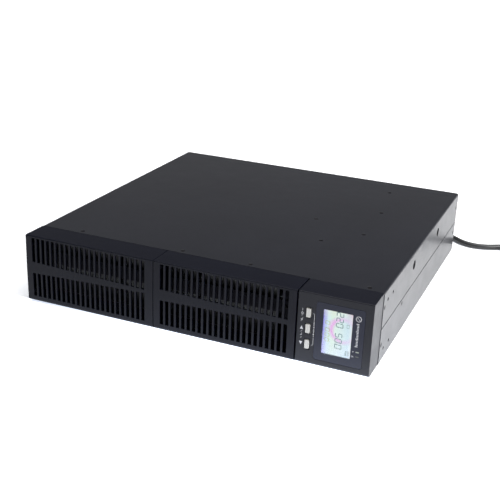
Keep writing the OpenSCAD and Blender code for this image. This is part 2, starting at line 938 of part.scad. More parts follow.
function unit(v) = v / norm(v);
function heading(route, i) =
    unit(route[min(i + 1, len(route) - 1)] - route[max(i - 1, 0)]);
function cord_ring(point, along, r, sides) =
    let (across = unit(cross(along, [0, 0, 1])), up = cross(across, along))
    [for (k = [0:sides - 1]) point + r * (cos(360 * k / sides) * across + sin(360 * k / sides) * up)];

// A round tube swept along a route, one ring for each of its points
module cord_tube(route) {
    sides = 10;
    rings = len(route);
    points = [for (i = [0:rings - 1]) each cord_ring(route[i], heading(route, i), cord_d / 2, sides)];
    walls = [for (i = [0:rings - 2], k = [0:sides - 1])
        [i * sides + k, (i + 1) * sides + k, (i + 1) * sides + (k + 1) % sides, i * sides + (k + 1) % sides]];
    start_cap = [for (k = [0:sides - 1]) k];
    end_cap = [for (k = [sides - 1:-1:0]) (rings - 1) * sides + k];
    polyhedron(points, concat(walls, [start_cap], [end_cap]));
}

module power_cord() {
    color([0.06, 0.06, 0.06]) {
        cord_tube(cord_route);
        cord_tube(tail_route);
    }
}

module cord_coil() {
    color([0.06, 0.06, 0.06]) translate([coil_x, coil_y, 0])
        rotate_extrude() translate([coil_inner_r, 0]) square([coil_outer_r - coil_inner_r, cord_d * 2]);
}

module power_plug() {
    color([0.07, 0.07, 0.07]) {
        rod_y(plug_x, plug_y - 22, plug_y, plug_r, 9, 5.2);
        rod_y(plug_x, plug_y - 58, plug_y - 22, plug_r, plug_r, 15);
    }
}

module plug_pins() {
    color([0.85, 0.8, 0.6]) for (dx = [-9.5, 9.5])
        rod_y(plug_x + dx, plug_y - 77, plug_y - 58, plug_r, 2.4);
}

base_tray();
top_cover();
rear_panel();
front_bulkhead();
left_grille();
middle_grille();
control_panel();
display_lens();
display_module();
power_button();
up_button();
down_button();
light_pipes();
control_board();
ribbon_cable();
grille_clips();
case_screws();
side_hole_plugs();
battery_tray();
battery_left();
battery_middle();
battery_right();
battery_terminals();
battery_leads();
battery_strap();
bay_divider();
main_board();
board_standoffs();
heatsink_left();
heatsink_right();
power_transistors();
bus_capacitors();
choke_core();
choke_winding();
transformer_core();
transformer_winding();
relays();
charger_board();
charger_standoffs();
fan_frame_left();
fan_frame_right();
fan_rotor_left();
fan_rotor_right();
fan_guard_left();
fan_guard_right();
fan_screws();
upper_outlets();
lower_outlets();
breaker_body();
breaker_button();
signal_port();
usb_port();
emergency_off_terminal();
card_slot_cover();
battery_socket();
cord_bushing();
power_cord();
cord_coil();
power_plug();
plug_pins();
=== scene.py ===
"""Looks of a two-unit rack or tower uninterruptible power supply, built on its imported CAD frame."""

import json
import math

import bmesh
import bpy
from mathutils import Matrix, Vector


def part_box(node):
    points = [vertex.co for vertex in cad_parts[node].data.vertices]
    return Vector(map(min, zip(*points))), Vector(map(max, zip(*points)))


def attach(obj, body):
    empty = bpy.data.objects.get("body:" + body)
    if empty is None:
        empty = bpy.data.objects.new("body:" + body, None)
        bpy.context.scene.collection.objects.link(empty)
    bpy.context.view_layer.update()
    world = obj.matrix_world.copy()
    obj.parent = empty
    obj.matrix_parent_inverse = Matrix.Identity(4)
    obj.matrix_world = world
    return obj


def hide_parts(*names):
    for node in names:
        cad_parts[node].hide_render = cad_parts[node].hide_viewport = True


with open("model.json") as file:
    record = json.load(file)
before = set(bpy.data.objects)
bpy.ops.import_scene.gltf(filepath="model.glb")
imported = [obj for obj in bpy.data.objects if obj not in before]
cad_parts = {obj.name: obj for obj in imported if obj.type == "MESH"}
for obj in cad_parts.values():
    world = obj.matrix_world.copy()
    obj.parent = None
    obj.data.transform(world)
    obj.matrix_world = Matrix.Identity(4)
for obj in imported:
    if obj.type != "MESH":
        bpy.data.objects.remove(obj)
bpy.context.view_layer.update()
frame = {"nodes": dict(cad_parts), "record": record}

MM = 0.001


def corners(node):
    """Lowest and highest corner of a CAD node, in millimetres."""
    low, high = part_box(node)
    return low / MM, high / MM


# ---- driving places, in millimetres, read off the frame ----

cover_low, cover_high = corners("top_cover")
_, tray_high = corners("base_tray")
CASE_SIDE = cover_high.x
CASE_TOP = cover_high.z
CASE_FRONT = cover_low.y
CASE_BACK = cover_high.y
SEAM_TOP = cover_low.z
SHEET = 1.2
BEND = 2.5


# ---- shapes: closed shells drawn in millimetres ----

def arc(cx, cz, radius, start, stop, steps):
    """Points along part of a circle, angles in degrees."""
    angles = [math.radians(start + (stop - start) * i / steps) for i in range(steps + 1)]
    return [(cx + radius * math.cos(a), cz + radius * math.sin(a)) for a in angles]


def rounded(x0, x1, z0, z1, radius, steps=5):
    """Outline of a rectangle with round corners."""
    points = []
    for cx, cz, start in ((x1 - radius, z1 - radius, 0), (x0 + radius, z1 - radius, 90),
                          (x0 + radius, z0 + radius, 180), (x1 - radius, z0 + radius, 270)):
        points += arc(cx, cz, radius, start, start + 90, steps)
    return points


def rectangle(x0, x1, z0, z1):
    return [(x0, z0), (x1, z0), (x1, z1), (x0, z1)]


def circle(cx, cz, radius, steps=32):
    return [(cx + radius * math.cos(2 * math.pi * i / steps), cz + radius * math.sin(2 * math.pi * i / steps))
            for i in range(steps)]


def placed(axis, a, b, along):
    """A point from its two outline coordinates and its place along the axis."""
    return {"x": (along, a, b), "y": (a, along, b), "z": (a, b, along)}[axis]


def prism(bm, outline, axis, start, end):
    """Extrudes an outline along an axis."""
    rings = [[bm.verts.new(placed(axis, a, b, along)) for a, b in outline] for along in (start, end)]
    count = len(outline)
    faces = [bm.faces.new([rings[0][i], rings[0][(i + 1) % count], rings[1][(i + 1) % count], rings[1][i]])
             for i in range(count)]
    faces += [bm.faces.new(rings[0]), bm.faces.new(rings[1])]
    return faces


def block(bm, x0, x1, y0, y1, z0, z1):
    return prism(bm, rectangle(x0, x1, z0, z1), "y", y0, y1)


def lathe(bm, axis, centre, profile, steps=48):
    """Turns a profile of (radius, along) points about an axis; its ends are capped or meet the axis."""
    rings = []
    for radius, along in profile:
        if radius < 1e-6:
            rings.append([bm.verts.new(placed(axis, centre[0], centre[1], along))])
            continue
        rings.append([bm.verts.new(placed(axis, a, b, along)) for a, b in circle(*centre, radius, steps)])
    for one, two in zip(rings, rings[1:]):
        for i in range(steps):
            j = (i + 1) % steps
            corner = [one[i % len(one)], one[j % len(one)], two[j % len(two)], two[i % len(two)]]
            bm.faces.new(list(dict.fromkeys(corner)))
    for ring in (rings[0], rings[-1]):
        if len(ring) > 1:
            bm.faces.new(ring)


def tube(bm, points, radius, sides=8, closed=False):
    """Sweeps a round section along points, with flat ends or closed on itself."""
    path = [Vector(p) for p in points]
    count = len(path)
    rings = []
    side = None
    for i, point in enumerate(path):
        before = path[i - 1] if i or closed else point
        after = path[(i + 1) % count] if i < count - 1 or closed else point
        along = (after - before).normalized()
        if side is None:
            side = along.orthogonal().normalized()
        side = (side - along * side.dot(along)).normalized()
        up = along.cross(side)
        rings.append([bm.verts.new(point + radius * (math.cos(2 * math.pi * k / sides) * side
                                                     + math.sin(2 * math.pi * k / sides) * up))
                      for k in range(sides)])
    pairs = list(zip(rings, rings[1:])) + ([(rings[-1], rings[0])] if closed else [])
    for one, two in pairs:
        shift = 0
        if closed and one is rings[-1]:
            shift = min(range(sides), key=lambda s: (two[s].co - one[0].co).length)
        for k in range(sides):
            n = (k + 1) % sides
            bm.faces.new([one[k], one[n], two[(n + shift) % sides], two[(k + shift) % sides]])
    if not closed:
        bm.faces.new(rings[0])
        bm.faces.new(rings[-1])


def linked(name, data):
    """A new object in the scene."""
    obj = bpy.data.objects.new(name, data)
    bpy.context.scene.collection.objects.link(obj)
    return obj


def built(bm, name):
    """An object from a mesh drawn in millimetres."""
    bmesh.ops.recalc_face_normals(bm, faces=bm.faces)
    mesh = bpy.data.meshes.new(name)
    bm.to_mesh(mesh)
    bm.free()
    return linked(name, mesh)


def drawn(name, draw):
    """An object from a function that draws into a new mesh."""
    bm = bmesh.new()
    draw(bm)
    return built(bm, name)


def modified(obj, kind, **settings):
    """Adds one modifier and applies it."""
    modifier = obj.modifiers.new(kind, kind)
    for key, value in settings.items():
        setattr(modifier, key, value)
    graph = bpy.context.evaluated_depsgraph_get()
    mesh = bpy.data.meshes.new_from_object(obj.evaluated_get(graph))
    obj.modifiers.clear()
    old = obj.data
    obj.data = mesh
    mesh.name = obj.name
    bpy.data.meshes.remove(old)
    return obj


def cut(obj, draw):
    """Takes the shells that draw makes out of an object."""
    cutter = drawn(obj.name + "_cutter", draw)
    modified(obj, "BOOLEAN", operation="DIFFERENCE", solver="EXACT", object=cutter)
    bpy.data.objects.remove(cutter)
    return obj


def extruded(name, outline, start, end, axis="y"):
    """An object that is one extruded outline."""
    return drawn(name, lambda bm: prism(bm, outline, axis, start, end))


def pierce(obj, outline, start, end, axis="y"):
    """Takes one extruded outline out of an object."""
    return cut(obj, lambda bm: prism(bm, outline, axis, start, end))


def soften(obj, width, segments=2, angle=35):
    """Rounds the sharp edges by width millimetres."""
    modified(obj, "BEVEL", width=width, segments=segments, limit_method="ANGLE",
             angle_limit=math.radians(angle), miter_outer="MITER_ARC", use_clamp_overlap=True)
    return obj


def piece(obj, body, material, replaces=(), smooth=40):
    """Scales a drawn object to metres, gives it its material, parents it to its body and hides the CAD nodes
    it replaces.
    """
    obj.data.transform(Matrix.Scale(MM, 4))
    obj.data.materials.clear()
    obj.data.materials.append(material)
    obj.data.shade_smooth()
    obj.data.set_sharp_from_angle(angle=math.radians(smooth))
    modified(obj, "WEIGHTED_NORMAL", keep_sharp=True, weight=60)
    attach(obj, body)
    if replaces:
        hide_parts(*replaces)
    return obj


# ---- materials ----

PAINT_DARK = (0.0040, 0.0046, 0.0085)
PAINT_LIGHT = (0.0065, 0.0073, 0.0120)
PAINT_ROUGH = 0.36
PAINT_SPECULAR = 0.5
PAINT_COAT = 0.15
PAINT_COAT_ROUGH = 0.3
# The screen's lit window: X from and to, then height from and to
SCREEN = (163.3, 195.9, 19.8, 72.0)


class Nodes:
    """Short names for building one node material."""

    def __init__(self, name):
        self.material = bpy.data.materials.new(name)
        self.material.use_nodes = True
        self.tree = self.material.node_tree
        self.shader = self.tree.nodes["Principled BSDF"]
        self.place = self.add("ShaderNodeTexCoord").outputs["Object"]

    def add(self, kind, **settings):
        node = self.tree.nodes.new(kind)
        for key, value in settings.items():
            setattr(node, key, value)
        return node

    def put(self, target, value):
        """Links an output to an input, or sets the input's own value."""
        if isinstance(value, bpy.types.NodeSocket):
            self.tree.links.new(value, target)
        else:
            target.default_value = value

    def noise(self, scale, detail=3.0, stretch=(1, 1, 1), rough=0.55):
        mapping = self.add("ShaderNodeMapping")
        self.put(mapping.inputs["Vector"], self.place)
        mapping.inputs["Scale"].default_value = stretch
        node = self.add("ShaderNodeTexNoise")
        self.put(node.inputs["Vector"], mapping.outputs["Vector"])
        node.inputs["Scale"].default_value = scale
        node.inputs["Detail"].default_value = detail
        node.inputs["Roughness"].default_value = rough
        return node.outputs["Fac"]

    def spread(self, value, low, high, start=0.25, stop=0.75):
        """Maps a value from start..stop onto low..high."""
        node = self.add("ShaderNodeMapRange")
        self.put(node.inputs["Value"], value)
        for key, number in (("From Min", start), ("From Max", stop), ("To Min", low), ("To Max", high)):
            node.inputs[key].default_value = number
        return node.outputs["Result"]

    def math(self, operation, a, b=0.0):
        node = self.add("ShaderNodeMath", operation=operation)
        self.put(node.inputs[0], a)
        self.put(node.inputs[1], b)
        return node.outputs[0]

    def mix(self, factor, a, b):
        node = self.add("ShaderNodeMix", data_type="RGBA")
        self.put(node.inputs["Factor"], factor)
        self.put(node.inputs["A"], (*a, 1) if isinstance(a, tuple) else a)
        self.put(node.inputs["B"], (*b, 1) if isinstance(b, tuple) else b)
        return node.outputs["Result"]

    def edge(self, radius, low=0.02, high=0.25):
        """1 on an edge, for worn edges and painted edge highlights: where a rounded normal leaves the true
        one.
        """
        bevel = self.add("ShaderNodeBevel", samples=4)
        bevel.inputs["Radius"].default_value = radius
        geometry = self.add("ShaderNodeNewGeometry")
        dot = self.add("ShaderNodeVectorMath", operation="DOT_PRODUCT")
        self.put(dot.inputs[0], bevel.outputs["Normal"])
        self.put(dot.inputs[1], geometry.outputs["Normal"])
        return self.spread(self.math("SUBTRACT", 1.0, dot.outputs["Value"]), 0.0, 1.0, low, high)

    def bump(self, height, strength, distance):
        node = self.add("ShaderNodeBump")
        node.inputs["Strength"].default_value = strength
        node.inputs["Distance"].default_value = distance
        self.put(node.inputs["Height"], height)
        self.put(self.shader.inputs["Normal"], node.outputs["Normal"])

    def axes(self):
        node = self.add("ShaderNodeSeparateXYZ")
        self.put(node.inputs["Vector"], self.place)
        return node.outputs

    def set(self, **values):
        names = {"base": "Base Color", "roughness": "Roughness", "metallic": "Metallic", "ior": "IOR",
                 "coat": "Coat Weight", "coat_roughness": "Coat Roughness", "specular": "Specular IOR Level",
                 "transmission": "Transmission Weight", "anisotropic": "Anisotropic",
                 "glow": "Emission Color", "glow_strength": "Emission Strength"}
        for key, value in values.items():
            value = (*value, 1) if isinstance(value, tuple) and len(value) == 3 else value
            self.put(self.shader.inputs[names[key]], value)
        return self


def surface(name, base, roughness, grain=0.6, depth=0.02, tone=0.12, spread=0.06, edge_wear_and_highlight=None, **more):
    """A finish with grain (its size and depth in millimetres), uneven tone and gloss, and pale edges that are
    partly wear and partly a painted highlight.
    """
    nodes = Nodes(name)
    broad = nodes.noise(14.0, 4.0)
    dark = tuple(c * (1 - tone) for c in base)
    light = tuple(min(1.0, c * (1 + tone)) for c in base)
    colour = nodes.mix(nodes.spread(broad, 0.0, 1.0), dark, light)
    if edge_wear_and_highlight:
        # Pale edges: partly wear, partly a painted highlight along the edges
        edge = nodes.edge(0.0006)
        wear_and_highlight_mask = nodes.math("MULTIPLY", edge, nodes.spread(nodes.noise(160.0), 0.0, 0.8, 0.42, 0.68))
        colour = nodes.mix(wear_and_highlight_mask, colour, edge_wear_and_highlight)
    fine = nodes.noise(1 / (grain * MM), 2.0)
    gloss = nodes.spread(nodes.noise(60.0), roughness - spread, roughness + spread)
    nodes.set(base=colour, roughness=gloss, **more)
    nodes.bump(fine, 1.0, depth * MM)
    return nodes.material


def steel_paint():
    """Semi-gloss black powder coat, with its orange peel."""
    nodes = Nodes("powder_coat")
    peel = nodes.noise(1100.0, 2.0)
    speck = nodes.noise(2600.0, 1.0)
    height = nodes.math("ADD", peel, nodes.math("MULTIPLY", speck, 0.35))
    tone = nodes.mix(nodes.spread(nodes.noise(9.0, 5.0), 0.0, 1.0), PAINT_DARK, PAINT_LIGHT)
    # Paler edges: partly wear, partly a painted highlight along the edges
    wear_and_highlight_mask = nodes.math("MULTIPLY", nodes.edge(0.0007), nodes.spread(nodes.noise(120.0), 0.0, 0.7, 0.45, 0.7))
    nodes.set(base=nodes.mix(wear_and_highlight_mask, tone, (0.06, 0.06, 0.065)),
              roughness=nodes.spread(nodes.noise(35.0, 4.0), PAINT_ROUGH - 0.03, PAINT_ROUGH + 0.03),
              coat=PAINT_COAT, coat_roughness=PAINT_COAT_ROUGH, specular=PAINT_SPECULAR)
    nodes.bump(height, 1.0, 0.012 * MM)
    return nodes.material


def bezel_plastic(name, specular, edge_wear_and_highlight=0.03):
    """Fine-textured black moulding; its last argument is the tone of its pale edges, which are partly wear
    and partly a painted highlight.
    """
    return surface(name, (0.0032, 0.0038, 0.0082), 0.36, grain=0.45, depth=0.012, tone=0.1,
                   spread=0.04, edge_wear_and_highlight=(edge_wear_and_highlight, edge_wear_and_highlight, edge_wear_and_highlight * 1.1), specular=specular)


def display_glow():
    """Backlit liquid crystal seen at a slant: pale cyan with violet and pink interference."""
    nodes = Nodes("display_glow")
    x, _, z = nodes.axes()
    across = nodes.spread(x, 0.0, 1.0, SCREEN[0] * MM, SCREEN[1] * MM)
    down = nodes.spread(z, 1.0, 0.0, SCREEN[2] * MM, SCREEN[3] * MM)
    base = nodes.add("ShaderNodeValToRGB")
    nodes.put(base.inputs["Fac"], across)
    stops = ((0.0, (0.18, 0.16, 0.80)), (0.08, (0.44, 0.52, 0.97)), (0.16, (0.66, 0.90, 0.96)),
             (0.32, (0.74, 0.95, 0.82)), (0.6, (0.72, 0.93, 0.93)), (0.86, (0.62, 0.86, 0.97)),
             (1.0, (0.86, 0.97, 1.0)))
    ramp = base.color_ramp
    ramp.elements[0].position, ramp.elements[1].position = stops[0][0], stops[-1][0]
    ramp.elements[0].color, ramp.elements[1].color = (*stops[0][1], 1), (*stops[-1][1], 1)
    for position, colour in stops[1:-1]:
        ramp.elements.new(position).color = (*colour, 1)
    colour = nodes.mix(nodes.spread(down, 0.0, 0.35, 0.6, 1.0), base.outputs["Color"], (0.62, 0.66, 0.95))
    colour = nodes.mix(nodes.spread(down, 0.4, 0.0, 0.0, 0.2), colour, (0.95, 0.93, 0.72))
    dx = nodes.math("SUBTRACT", x, 185.8 * MM)
    dz = nodes.math("SUBTRACT", z, 50.4 * MM)
    squares = nodes.math("ADD", nodes.math("MULTIPLY", dx, dx), nodes.math("MULTIPLY", dz, dz))
    reach = nodes.math("SQRT", squares)
    uneven = nodes.math("MULTIPLY", nodes.math("SUBTRACT", nodes.noise(60.0, 2.0), 0.5), 4 * MM)
    reach = nodes.math("ADD", reach, uneven)
    inner = nodes.spread(reach, 0.0, 1.0, 9.5 * MM, 13 * MM)
    outer = nodes.spread(reach, 1.0, 0.0, 13 * MM, 17.5 * MM)
    band = nodes.math("MULTIPLY", inner, outer)
    ring = nodes.math("MULTIPLY", band, nodes.spread(across, 0.95, 0.3, 0.35, 0.9))
    colour = nodes.mix(ring, colour, (0.86, 0.30, 0.88))
    corner = nodes.math("MULTIPLY", nodes.spread(across, 0.0, 0.8, 0.72, 1.0),
                        nodes.spread(down, 0.9, 0.0, 0.02, 0.3))
    colour = nodes.mix(corner, colour, (0.72, 0.42, 0.66))
    nodes.set(base=(0.02, 0.02, 0.02), glow=colour, glow_strength=0.74, roughness=0.2, coat=0.4,
              coat_roughness=0.05)
    nodes.bump(nodes.noise(900.0, 1.0), 1.0, 0.002 * MM)
    return nodes.material


def clear_acrylic():
    nodes = Nodes("clear_acrylic")
    nodes.set(base=(0.97, 0.98, 0.98), transmission=1.0, ior=1.49,
              roughness=nodes.spread(nodes.noise(90.0), 0.02, 0.05))
    nodes.bump(nodes.noise(300.0, 1.0), 1.0, 0.001 * MM)
    return nodes.material


def banded(name, base, gap, pitch, axis, roughness=0.4, depth=0.2, **more):
    """Wound or ribbed stock: bands of one pitch, in millimetres, along an axis of the object."""
    nodes = Nodes(name)
    place = nodes.axes()[axis]
    wave = nodes.math("SINE", nodes.math("MULTIPLY", place, 2 * math.pi / (pitch * MM)))
    line = nodes.spread(wave, 0.0, 1.0, -0.9, 0.2)
    nodes.set(base=nodes.mix(line, gap, base), roughness=nodes.spread(nodes.noise(80.0), roughness - 0.05,
                                                                    roughness + 0.08), **more)
    nodes.bump(line, 0.8, depth * MM)
    return nodes.material


def circuit_board():
    """Green solder mask over faint copper traces."""
    nodes = Nodes("circuit_board")
    brick = nodes.add("ShaderNodeTexBrick", offset=0.37, squash=0.7)
    nodes.put(brick.inputs["Vector"], nodes.place)
    brick.inputs["Scale"].default_value = 95.0
    brick.inputs["Mortar Size"].default_value = 0.03
    brick.inputs["Color1"].default_value = (0.008, 0.075, 0.03, 1)
    brick.inputs["Color2"].default_value = (0.010, 0.095, 0.036, 1)
    brick.inputs["Mortar"].default_value = (0.022, 0.16, 0.06, 1)
    nodes.set(base=brick.outputs["Color"], roughness=nodes.spread(nodes.noise(200.0), 0.28, 0.42))
    nodes.bump(brick.outputs["Fac"], 0.4, 0.04 * MM)
    return nodes.material


def zinc_plate():
    nodes = Nodes("zinc_plate")
    cells = nodes.add("ShaderNodeTexVoronoi")
    nodes.put(cells.inputs["Vector"], nodes.place)
    cells.inputs["Scale"].default_value = 130.0
    spangle = nodes.spread(cells.outputs["Distance"], 0.0, 1.0, 0.0, 0.7)
    tone = nodes.mix(spangle, (0.50, 0.51, 0.53), (0.66, 0.67, 0.69))
    nodes.set(base=tone, metallic=1.0, roughness=nodes.spread(nodes.noise(240.0), 0.3, 0.48))
    nodes.bump(nodes.noise(500.0), 0.5, 0.02 * MM)
    return nodes.material


MATERIALS = {
    "case_paint": steel_paint(),
    "bezel_plastic": bezel_plastic("bezel_plastic", 0.13),
    "lens_plastic": surface("lens_print", (0.004, 0.006, 0.018), 0.22, grain=3.0, depth=0.002, spread=0.03,
                            specular=0.25),
    "display": surface("display_frame", (0.10, 0.10, 0.11), 0.5),
    "button_white": surface("button_white", (0.40, 0.395, 0.375), 0.5, grain=0.4, depth=0.008, tone=0.03),
    "light_pipe": surface("light_pipe", (0.55, 0.62, 0.55), 0.3, grain=1.0, depth=0.004),
    "board": circuit_board(),
    "ribbon": banded("ribbon_cable", (0.42, 0.42, 0.44), (0.18, 0.18, 0.2), 1.27, 0),
    "zinc_steel": zinc_plate(),
    "screw_black": surface("black_oxide", (0.004, 0.004, 0.005), 0.5, grain=0.3, depth=0.01, specular=0.15,
                           edge_wear_and_highlight=(0.02, 0.02, 0.021)),
    "battery_case": surface("battery_case", (0.045, 0.047, 0.05), 0.5, grain=0.5, depth=0.03),
    "lead_red": surface("lead_red", (0.42, 0.02, 0.015), 0.45, grain=1.0, depth=0.01),
    "alloy": surface("extruded_alloy", (0.62, 0.63, 0.65), 0.35, grain=0.8, depth=0.02, metallic=1.0,
                     anisotropic=0.5),
    "component_black": surface("component_black", (0.015, 0.015, 0.016), 0.45, grain=0.4, depth=0.02),
    "capacitor_sleeve": surface("capacitor_sleeve", (0.012, 0.03, 0.12), 0.25, grain=1.5, depth=0.01,
                                coat=0.5),
    "powder_core": surface("powder_core", (0.45, 0.40, 0.10), 0.4, grain=0.5, depth=0.03),
    "copper": banded("copper_winding", (0.62, 0.26, 0.10), (0.12, 0.04, 0.02), 1.1, 1, 0.3, metallic=1.0),
    "ferrite": surface("ferrite", (0.045, 0.045, 0.048), 0.55, grain=0.4, depth=0.04),
    "winding_tape": banded("winding_tape", (0.62, 0.45, 0.05), (0.45, 0.32, 0.04), 6.0, 1, 0.3),
    "relay_case": surface("relay_case", (0.012, 0.06, 0.28), 0.35, grain=0.5, depth=0.01),
    "fan_plastic": surface("fan_plastic", (0.012, 0.012, 0.013), 0.45, grain=0.4, depth=0.015,
                           edge_wear_and_highlight=(0.04, 0.04, 0.042)),
    "outlet_plastic": surface("outlet_plastic", (0.013, 0.013, 0.014), 0.38, grain=0.35, depth=0.012,
                              edge_wear_and_highlight=(0.045, 0.045, 0.047)),
    "terminal_green": surface("terminal_green", (0.02, 0.24, 0.07), 0.4, grain=0.4, depth=0.01),
    "socket_grey": surface("socket_grey", (0.10, 0.10, 0.105), 0.42, grain=0.4, depth=0.015,
                           edge_wear_and_highlight=(0.2, 0.2, 0.2)),
    "cord_rubber": surface("cord_rubber", (0.016, 0.0165, 0.018), 0.42, grain=0.5, depth=0.012, tone=0.15,
                           specular=0.5),
    # Dark matt finish, used as painted shade on parts seen only through slots and seams
    "dull_steel": surface("dull_primer_and_painted_shade", (0.012, 0.012, 0.016), 0.85, grain=0.5, depth=0.02, specular=0.08),
    "pin_brass": surface("pin_nickel", (0.72, 0.66, 0.52), 0.25, grain=0.5, depth=0.01, metallic=1.0),
}
# Steel seen only through the slots gets a dark matt finish in place of its own: painted shade behind the
# grilles
BEHIND_GRILLES = ("front_bulkhead", "battery_strap", "bay_divider")
for subpart in frame["record"]["subparts"]:
    node = frame["nodes"][subpart["node"]]
    node.data.materials.clear()
    look = "dull_steel" if subpart["node"] in BEHIND_GRILLES else subpart["material_slot"]
    node.data.materials.append(MATERIALS[look])


# ---- camera ----

def aim(position, azimuth, elevation, roll):
    """World matrix of a camera that looks along azimuth, from +Y towards -X, and down by elevation."""
    a, e, r = (math.radians(v) for v in (azimuth, elevation, roll))
    forward = Vector((-math.sin(a) * math.cos(e), math.cos(a) * math.cos(e), -math.sin(e)))
    right = Vector((math.cos(a), math.sin(a), 0))
    up = right.cross(forward)
    level = (right * math.cos(r) + up * math.sin(r), up * math.cos(r) - right * math.sin(r), -forward)
    matrix = Matrix(level).transposed().to_4x4()
    matrix.translation = position
    return matrix


lens = bpy.data.cameras.new("camera")
lens.sensor_width = 36
lens.lens = 66.4
lens.clip_end = 60
camera = linked("camera", lens)
camera.matrix_world = aim((0.4277, -1.0780, 0.4863), 22.32, 21.36, 2.35)
bpy.context.scene.camera = camera


# ---- power cord ----

CORD_D = 8
TIE_AT = 45
COIL_X, COIL_Y = 352, 232
COIL_RADII = (36, 44, 52)
COIL_IN, COIL_OUT = 120, 0
LAYER_LOW, LAYER_HIGH = CORD_D / 2, CORD_D * 1.5
JOG, CLIMB = 0.12, 0.15
BOOT_TIP = (140, 240, 24)
FLOOR_ROUTE = [(140, 240, 24), (140, 250, 22.5), (144.5, 267, 18), (157, 279.5, 12.5), (174, 284, 8),
               (191, 279.5, 5), (201, 271, 4.1), (209, 262.5, 4), (217, 255, 4), (227, 247.5, 4),
               (238, 242.5, 4), (250, 241, 4), (262, 243.5, 4), (273, 248.5, 4), (284, 255, 4),
               (294, 260.5, 4), (302, 265, 4)]
TAIL_ROUTE = [(404, 203, 12.2), (403.8, 192, 13), (403, 182, 14.6), (402, 171, 16.6), (401, 160, 18.5)]


def ease(value, start, stop):
    """0 before start, 1 after stop, and smooth between."""
    t = min(1.0, max(0.0, (value - start) / (stop - start)))
    return t * t * (3 - 2 * t)


def coil_radius(turn):
    """Radius of the winding after some turns: in along the lower layer, out along the upper one."""
    inner, middle, outer = COIL_RADII
    step = middle - inner
    inward = ease(turn, 1 - JOG, 1) + ease(turn, 2 - JOG, 2)
    start = 4 - CLIMB - 2 * JOG
    outward = ease(turn, start, start + JOG) + ease(turn, start + 1, start + 1 + JOG)
    return outer - step * inward + step * outward


def coil_points():
    """The coil from where the cord comes in to where it leaves for the plug, wound clockwise from above."""
    turns = 5 + (COIL_IN - COIL_OUT) / 360
    steps = int(turns * 36)
    points = []
    for i in range(steps + 1):
        turn = turns * i / steps
        angle = math.radians(COIL_IN - 360 * turn)
        radius = coil_radius(turn)
        height = LAYER_LOW + (LAYER_HIGH - LAYER_LOW) * ease(turn, 3 - JOG - CLIMB, 3 - JOG)
        points.append((COIL_X + radius * math.cos(angle), COIL_Y + radius * math.sin(angle), height))
    return points


def smooth_route(points, per_span=4):
    """Points on a smooth curve through the given ones."""
    path = [Vector(p) for p in points]
    ends = [2 * path[0] - path[1], *path, 2 * path[-1] - path[-2]]
    fine = []
    for a, b, c, d in zip(ends, ends[1:], ends[2:], ends[3:]):
        for i in range(per_span):
            t = i / per_span
            fine.append(0.5 * (2 * b + (c - a) * t + (2 * a - 5 * b + 4 * c - d) * t * t
                               + (3 * b - a - 3 * c + d) * t ** 3))
    return fine + [path[-1]]


def cord_line():
    start = [(BOOT_TIP[0], BOOT_TIP[1] - 12, BOOT_TIP[2])]
    coil = coil_points()
    return (smooth_route(start + FLOOR_ROUTE + [coil[0]])[:-1] + [Vector(p) for p in coil]
            + smooth_route([coil[-1]] + TAIL_ROUTE + [(401, 148, 18.5)])[1:])


def curve_cord(name, points, diameter, material):
    """A round cord along points, as one open spline."""
    data = bpy.data.curves.new(name, "CURVE")
    data.dimensions = "3D"
    data.bevel_depth = diameter / 2 * MM
    data.bevel_resolution = 4
    data.use_fill_caps = True
    spline = data.splines.new("POLY")
    spline.points.add(len(points) - 1)
    for point, place in zip(spline.points, points):
        point.co = (*(Vector(place) * MM), 1)
    spline.use_smooth = True
    data.materials.append(material)
    return linked(name, data)


cord = curve_cord("mains_cord", cord_line(), CORD_D, MATERIALS["cord_rubber"])
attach(cord, "case")
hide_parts("power_cord", "cord_coil")


# ---- bezel ----

left_low, left_high = corners("left_grille")
mid_low, mid_high = corners("middle_grille")
panel_low, panel_high = corners("control_panel")
BEZEL_FRONT = left_low.y
BEZEL_BACK = CASE_FRONT - 0.5
BEZEL_LOW, BEZEL_TOP = left_low.z, left_high.z
JOINT_CLOSE, JOINT_OPEN_TO = 0.44, 16
CROWN = 0.5
CROWN_Z = 46.5
WALL = 2.5
LOW_RADIUS, TOP_RADIUS = 4.0, 1.2
SLOTS = 23
SLOT_OPEN = 0.63
POST_IN, POST_RADIUS = 6.5, 2.5
POST_BACK = left_high.y
strap_low, strap_high = corners("battery_strap")


def face_y(z):
    """Y of a grille's crowned face at a height."""
    edge = BEZEL_FRONT + CROWN
    if z < CROWN_Z:
        return edge - CROWN * max(0.0, (z - BEZEL_LOW - LOW_RADIUS) / (CROWN_Z - BEZEL_LOW - LOW_RADIUS))
    return edge - CROWN * max(0.0, (BEZEL_TOP - TOP_RADIUS - z) / (BEZEL_TOP - TOP_RADIUS - CROWN_Z))


def grille_columns(x0, x1, slots):
    """X of every column line, and for each the heights of its four slot ends."""
    lower_low, lower_high, upper_low, upper_high = slots["ends"]
    start, stop = slots["x"]
    pitch = (stop - start) / (SLOTS - 1 + SLOT_OPEN)
    columns = []
    for i in range(SLOTS):
        t = i / (SLOTS - 1)
        ends = [a + (b - a) * t for a, b in (lower_low, lower_high, upper_low, upper_high)]
        columns += [(start + i * pitch, ends), (start + (i + SLOT_OPEN) * pitch, ends)]
    return [(x0, columns[0][1])] + columns + [(x1, columns[-1][1])]


